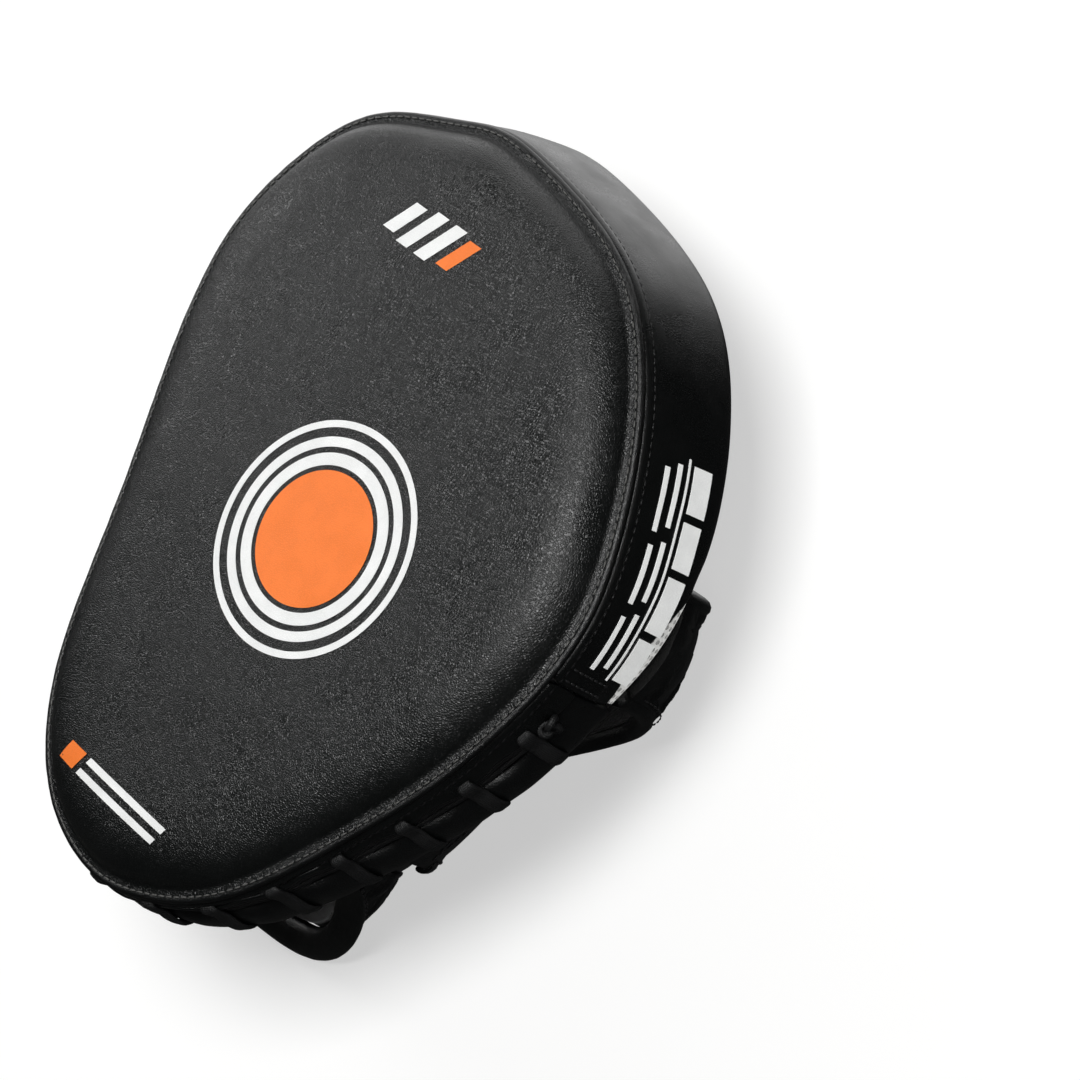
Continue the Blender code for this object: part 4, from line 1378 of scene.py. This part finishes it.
def make_cuff():
    def pad_top(angle, t):
        arch = math.sin(math.pi * min(t / 0.74, 1))
        swell = 3.4 * arch ** 0.8 * sind(angle) ** 0.35
        folds = 0.35 * abs(math.sin(angle / 5.2)) * ease(t, 0.45, 0.72)
        pulls = 0.5 * wobble(angle / 1.3, t * 40, 0, 9, 7.3) + folds
        return -0.6 + swell + pulls * arch

    def pad_low(angle, t):
        return -CUFF_THICKNESS - 0.4 * math.sin(math.pi * min(t / 0.74, 1))

    def sewn(i, j):
        return i in (0, len(ts) - 1) or j in (0, len(CUFF_ANGLES) - 1)

    ts = spread(0.015, 0.735, 30)
    pad = shell("cuff_cushion", cuff_grid(ts, pad_top), cuff_grid(ts, pad_low), "soft", None, sharp=60)
    inflate(pad, skin_pins(len(ts), len(CUFF_ANGLES), sewn), pressure=4.0, cap=3.5)
    settle(pad)
    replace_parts(pad, "cuff_pad")
    with_cuff(pad)
    make_cuff_edge()
    lining_ts = spread(0.05, 0.74, 18)
    inner, under = (cuff_grid(lining_ts, lambda a, t: pad_low(a, t) - lower) for lower in (0.1, 1.3))
    lining = shell("cuff_inside", inner, under, "suede", None)
    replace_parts(lining, "cuff_lining")
    with_cuff(lining)

    def root_top(angle, y):
        return -0.8 + 0.6 * math.sin(math.pi * (y - CUFF_HINGE_Y) / 8)

    ys = spread(CUFF_HINGE_Y + 0.2, CUFF_HINGE_Y + 8, 8)
    root = dome_shell("cuff_base", CUFF_ANGLES, ys, root_top, -CUFF_THICKNESS, "soft", "mitt")
    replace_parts(root, "cuff_root")
    for name, angle, turn in (("thumb", 1, -60), ("outer", 179, 60)):
        x, y, _ = dome_point(angle, CUFF_SIDE_Y + 3, -3)
        make_tab(name, (x, y, back_z(y) - 1.25), turn)


def make_tab(name, centre, turn):
    """A small folded tab sewn down at the cuff's base with light thread."""
    cos_t, sin_t = cosd(turn), sind(turn)

    def at(u, v, w):
        x = centre[0] + u * cos_t - v * sin_t
        y = centre[1] + u * sin_t + v * cos_t
        return x, y, centre[2] - BACK_SLOPE * (y - centre[1]) - w

    def crown(u, v):
        return 0.55 + 0.35 * (1 - abs(v / 4.6) ** 3) + 0.15 * wobble(u, v, 0, 3)

    us, vs = spread(-6.6, 6.6, 17), spread(-4.6, 4.6, 11)
    outer = [[at(u, v, crown(u, v)) for v in vs] for u in us]
    inner = [[at(u, v, -0.7) for v in vs] for u in us]
    made = shell(f"tab_{name}", outer, inner, "tape", "mitt")
    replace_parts(made, f"cuff_tab_{name}")
    corners = [(-5.2, -3.2), (5.2, -3.2), (5.2, 3.2), (-5.2, 3.2), (-5.2, -3.2), (5.2, 3.2)]
    path = [at(u, v, 0.95) for u, v in polyline(corners, 8, 0.95)]
    stitches(f"tab_thread_{name}", path, [(0, 0, -1)] * len(path), "thread_light", "mitt",
             length=1.5, gap=0.5, radius=0.25)


def dress_cad():
    """Finishes for the CAD nodes that stay: the back panel, and the foam inside."""
    for node in ("face_foam", "core_foam", "back_foam", "back_panel"):
        look = LOOKS["suede" if node == "back_panel" else "foam"]
        for material_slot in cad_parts[node].material_slots:
            material_slot.link = "OBJECT"
            material_slot.material = look["material"]


# ---------------------------------------------------------------- setting


FLOOR_HALF = 6.0
FLOOR_DROP = -0.0004
FLOOR_GLOW = (0.35, 1.0, 0.52, 1.0)


def make_stage():
    floor = bpy.data.meshes.new("floor")
    corners = [(x * FLOOR_HALF, y * FLOOR_HALF, 0) for x, y in ((-1, -1), (1, -1), (1, 1), (-1, 1))]
    floor.from_pydata(corners, [], [(0, 1, 2, 3)])
    made = bpy.data.objects.new("floor", floor)
    made.location.z = FLOOR_DROP
    bpy.context.scene.collection.objects.link(made)
    n = Nodes("floor")
    n.set(Base_Color=(0.5, 0.5, 0.495, 1.0), Roughness=0.95, Specular_IOR_Level=0.1)
    far = n.add("ShaderNodeVectorMath", {0: n.place.outputs["Object"]}, operation="LENGTH").outputs["Value"]
    n.set(Emission_Color=(1, 1, 1, 1), Emission_Strength=n.span(far, *FLOOR_GLOW))
    floor.materials.append(n.material)
    made.visible_glossy = False


def area_light(name, location, target, size, power):
    data = bpy.data.lights.new(name, "AREA")
    data.shape = "RECTANGLE"
    data.size, data.size_y = size
    data.energy = power
    made = bpy.data.objects.new(name, data)
    made.location = location
    made.rotation_euler = (Vector(target) - Vector(location)).to_track_quat("-Z", "Y").to_euler()
    bpy.context.scene.collection.objects.link(made)


def world_span(tree, value, low, high, to_low, to_high):
    """The world's value, mapped from low and high and held at the ends."""
    node = tree.nodes.new("ShaderNodeMapRange")
    tree.links.new(value, node.inputs["Value"])
    for key, number in (("From Min", low), ("From Max", high), ("To Min", to_low), ("To Max", to_high)):
        node.inputs[key].default_value = number
    return node.outputs["Result"]


BRIGHT_SIDE = (-0.62, 0.76, -0.2)
BRIGHT_EDGE = (0.66, 0.83)
ROOM_LIGHT = (0.03, 1.8)
LIGHTS = (  # name, place, target, size, watts
    ("key", (0.38, 0.3, 2.1), (0, 0, 0.05), (0.95, 0.95), 40),
    ("side", (-0.95, 0.06, 0.56), (-0.05, 0, 0.1), (0.3, 0.5), 2.5),
    ("front", (1.2, -0.1, 1.25), (0, 0, 0.1), (0.22, 0.7), 2.5),
)


def make_lights():
    world = bpy.data.worlds.new("studio")
    bpy.context.scene.world = world
    world.use_nodes = True
    tree = world.node_tree
    seen = tree.nodes["Background"]
    seen.inputs["Color"].default_value = (1, 1, 1, 1)
    room = tree.nodes.new("ShaderNodeBackground")
    towards = tree.nodes.new("ShaderNodeVectorMath")
    towards.operation = "DOT_PRODUCT"
    towards.inputs[1].default_value = Vector(BRIGHT_SIDE).normalized()
    tree.links.new(tree.nodes.new("ShaderNodeTexCoord").outputs["Generated"], towards.inputs[0])
    bright = world_span(tree, towards.outputs["Value"], *BRIGHT_EDGE, *ROOM_LIGHT)
    tree.links.new(bright, room.inputs["Strength"])
    choose = tree.nodes.new("ShaderNodeMixShader")
    tree.links.new(tree.nodes.new("ShaderNodeLightPath").outputs["Is Camera Ray"], choose.inputs[0])
    tree.links.new(room.outputs[0], choose.inputs[1])
    tree.links.new(seen.outputs[0], choose.inputs[2])
    tree.links.new(choose.outputs[0], tree.nodes["World Output"].inputs["Surface"])
    for light in LIGHTS:
        area_light(*light)


CAMERA_SENSOR = 36.0
CAMERA_LENS = 150.0
CAMERA_PLACE = (0.8996, 0.0835, 1.1790)
CAMERA_RIGHT = (0.6705, 0.5139, -0.5351)
CAMERA_UP = (-0.4303, 0.8569, 0.2837)


def make_camera():
    data = bpy.data.cameras.new("camera")
    data.sensor_width = CAMERA_SENSOR
    data.lens = CAMERA_LENS
    made = bpy.data.objects.new("camera", data)
    bpy.context.scene.collection.objects.link(made)
    right = Vector(CAMERA_RIGHT).normalized()
    up = Vector(CAMERA_UP)
    up = (up - right * up.dot(right)).normalized()
    turn = Matrix((right, up, right.cross(up))).transposed().to_4x4()
    made.matrix_world = Matrix.Translation(CAMERA_PLACE) @ turn
    bpy.context.scene.camera = made
    bpy.context.scene.view_settings.view_transform = "Standard"


make_stage()
make_lights()
make_camera()
make_face()
make_target()
make_marks()
make_welt()
make_gusset()
gusset_stripes()
make_front_strip()
make_back_roll()
make_tongue()
make_laces()
make_hood()
make_thumb_loop()
make_strap()
make_cuff()
dress_cad()
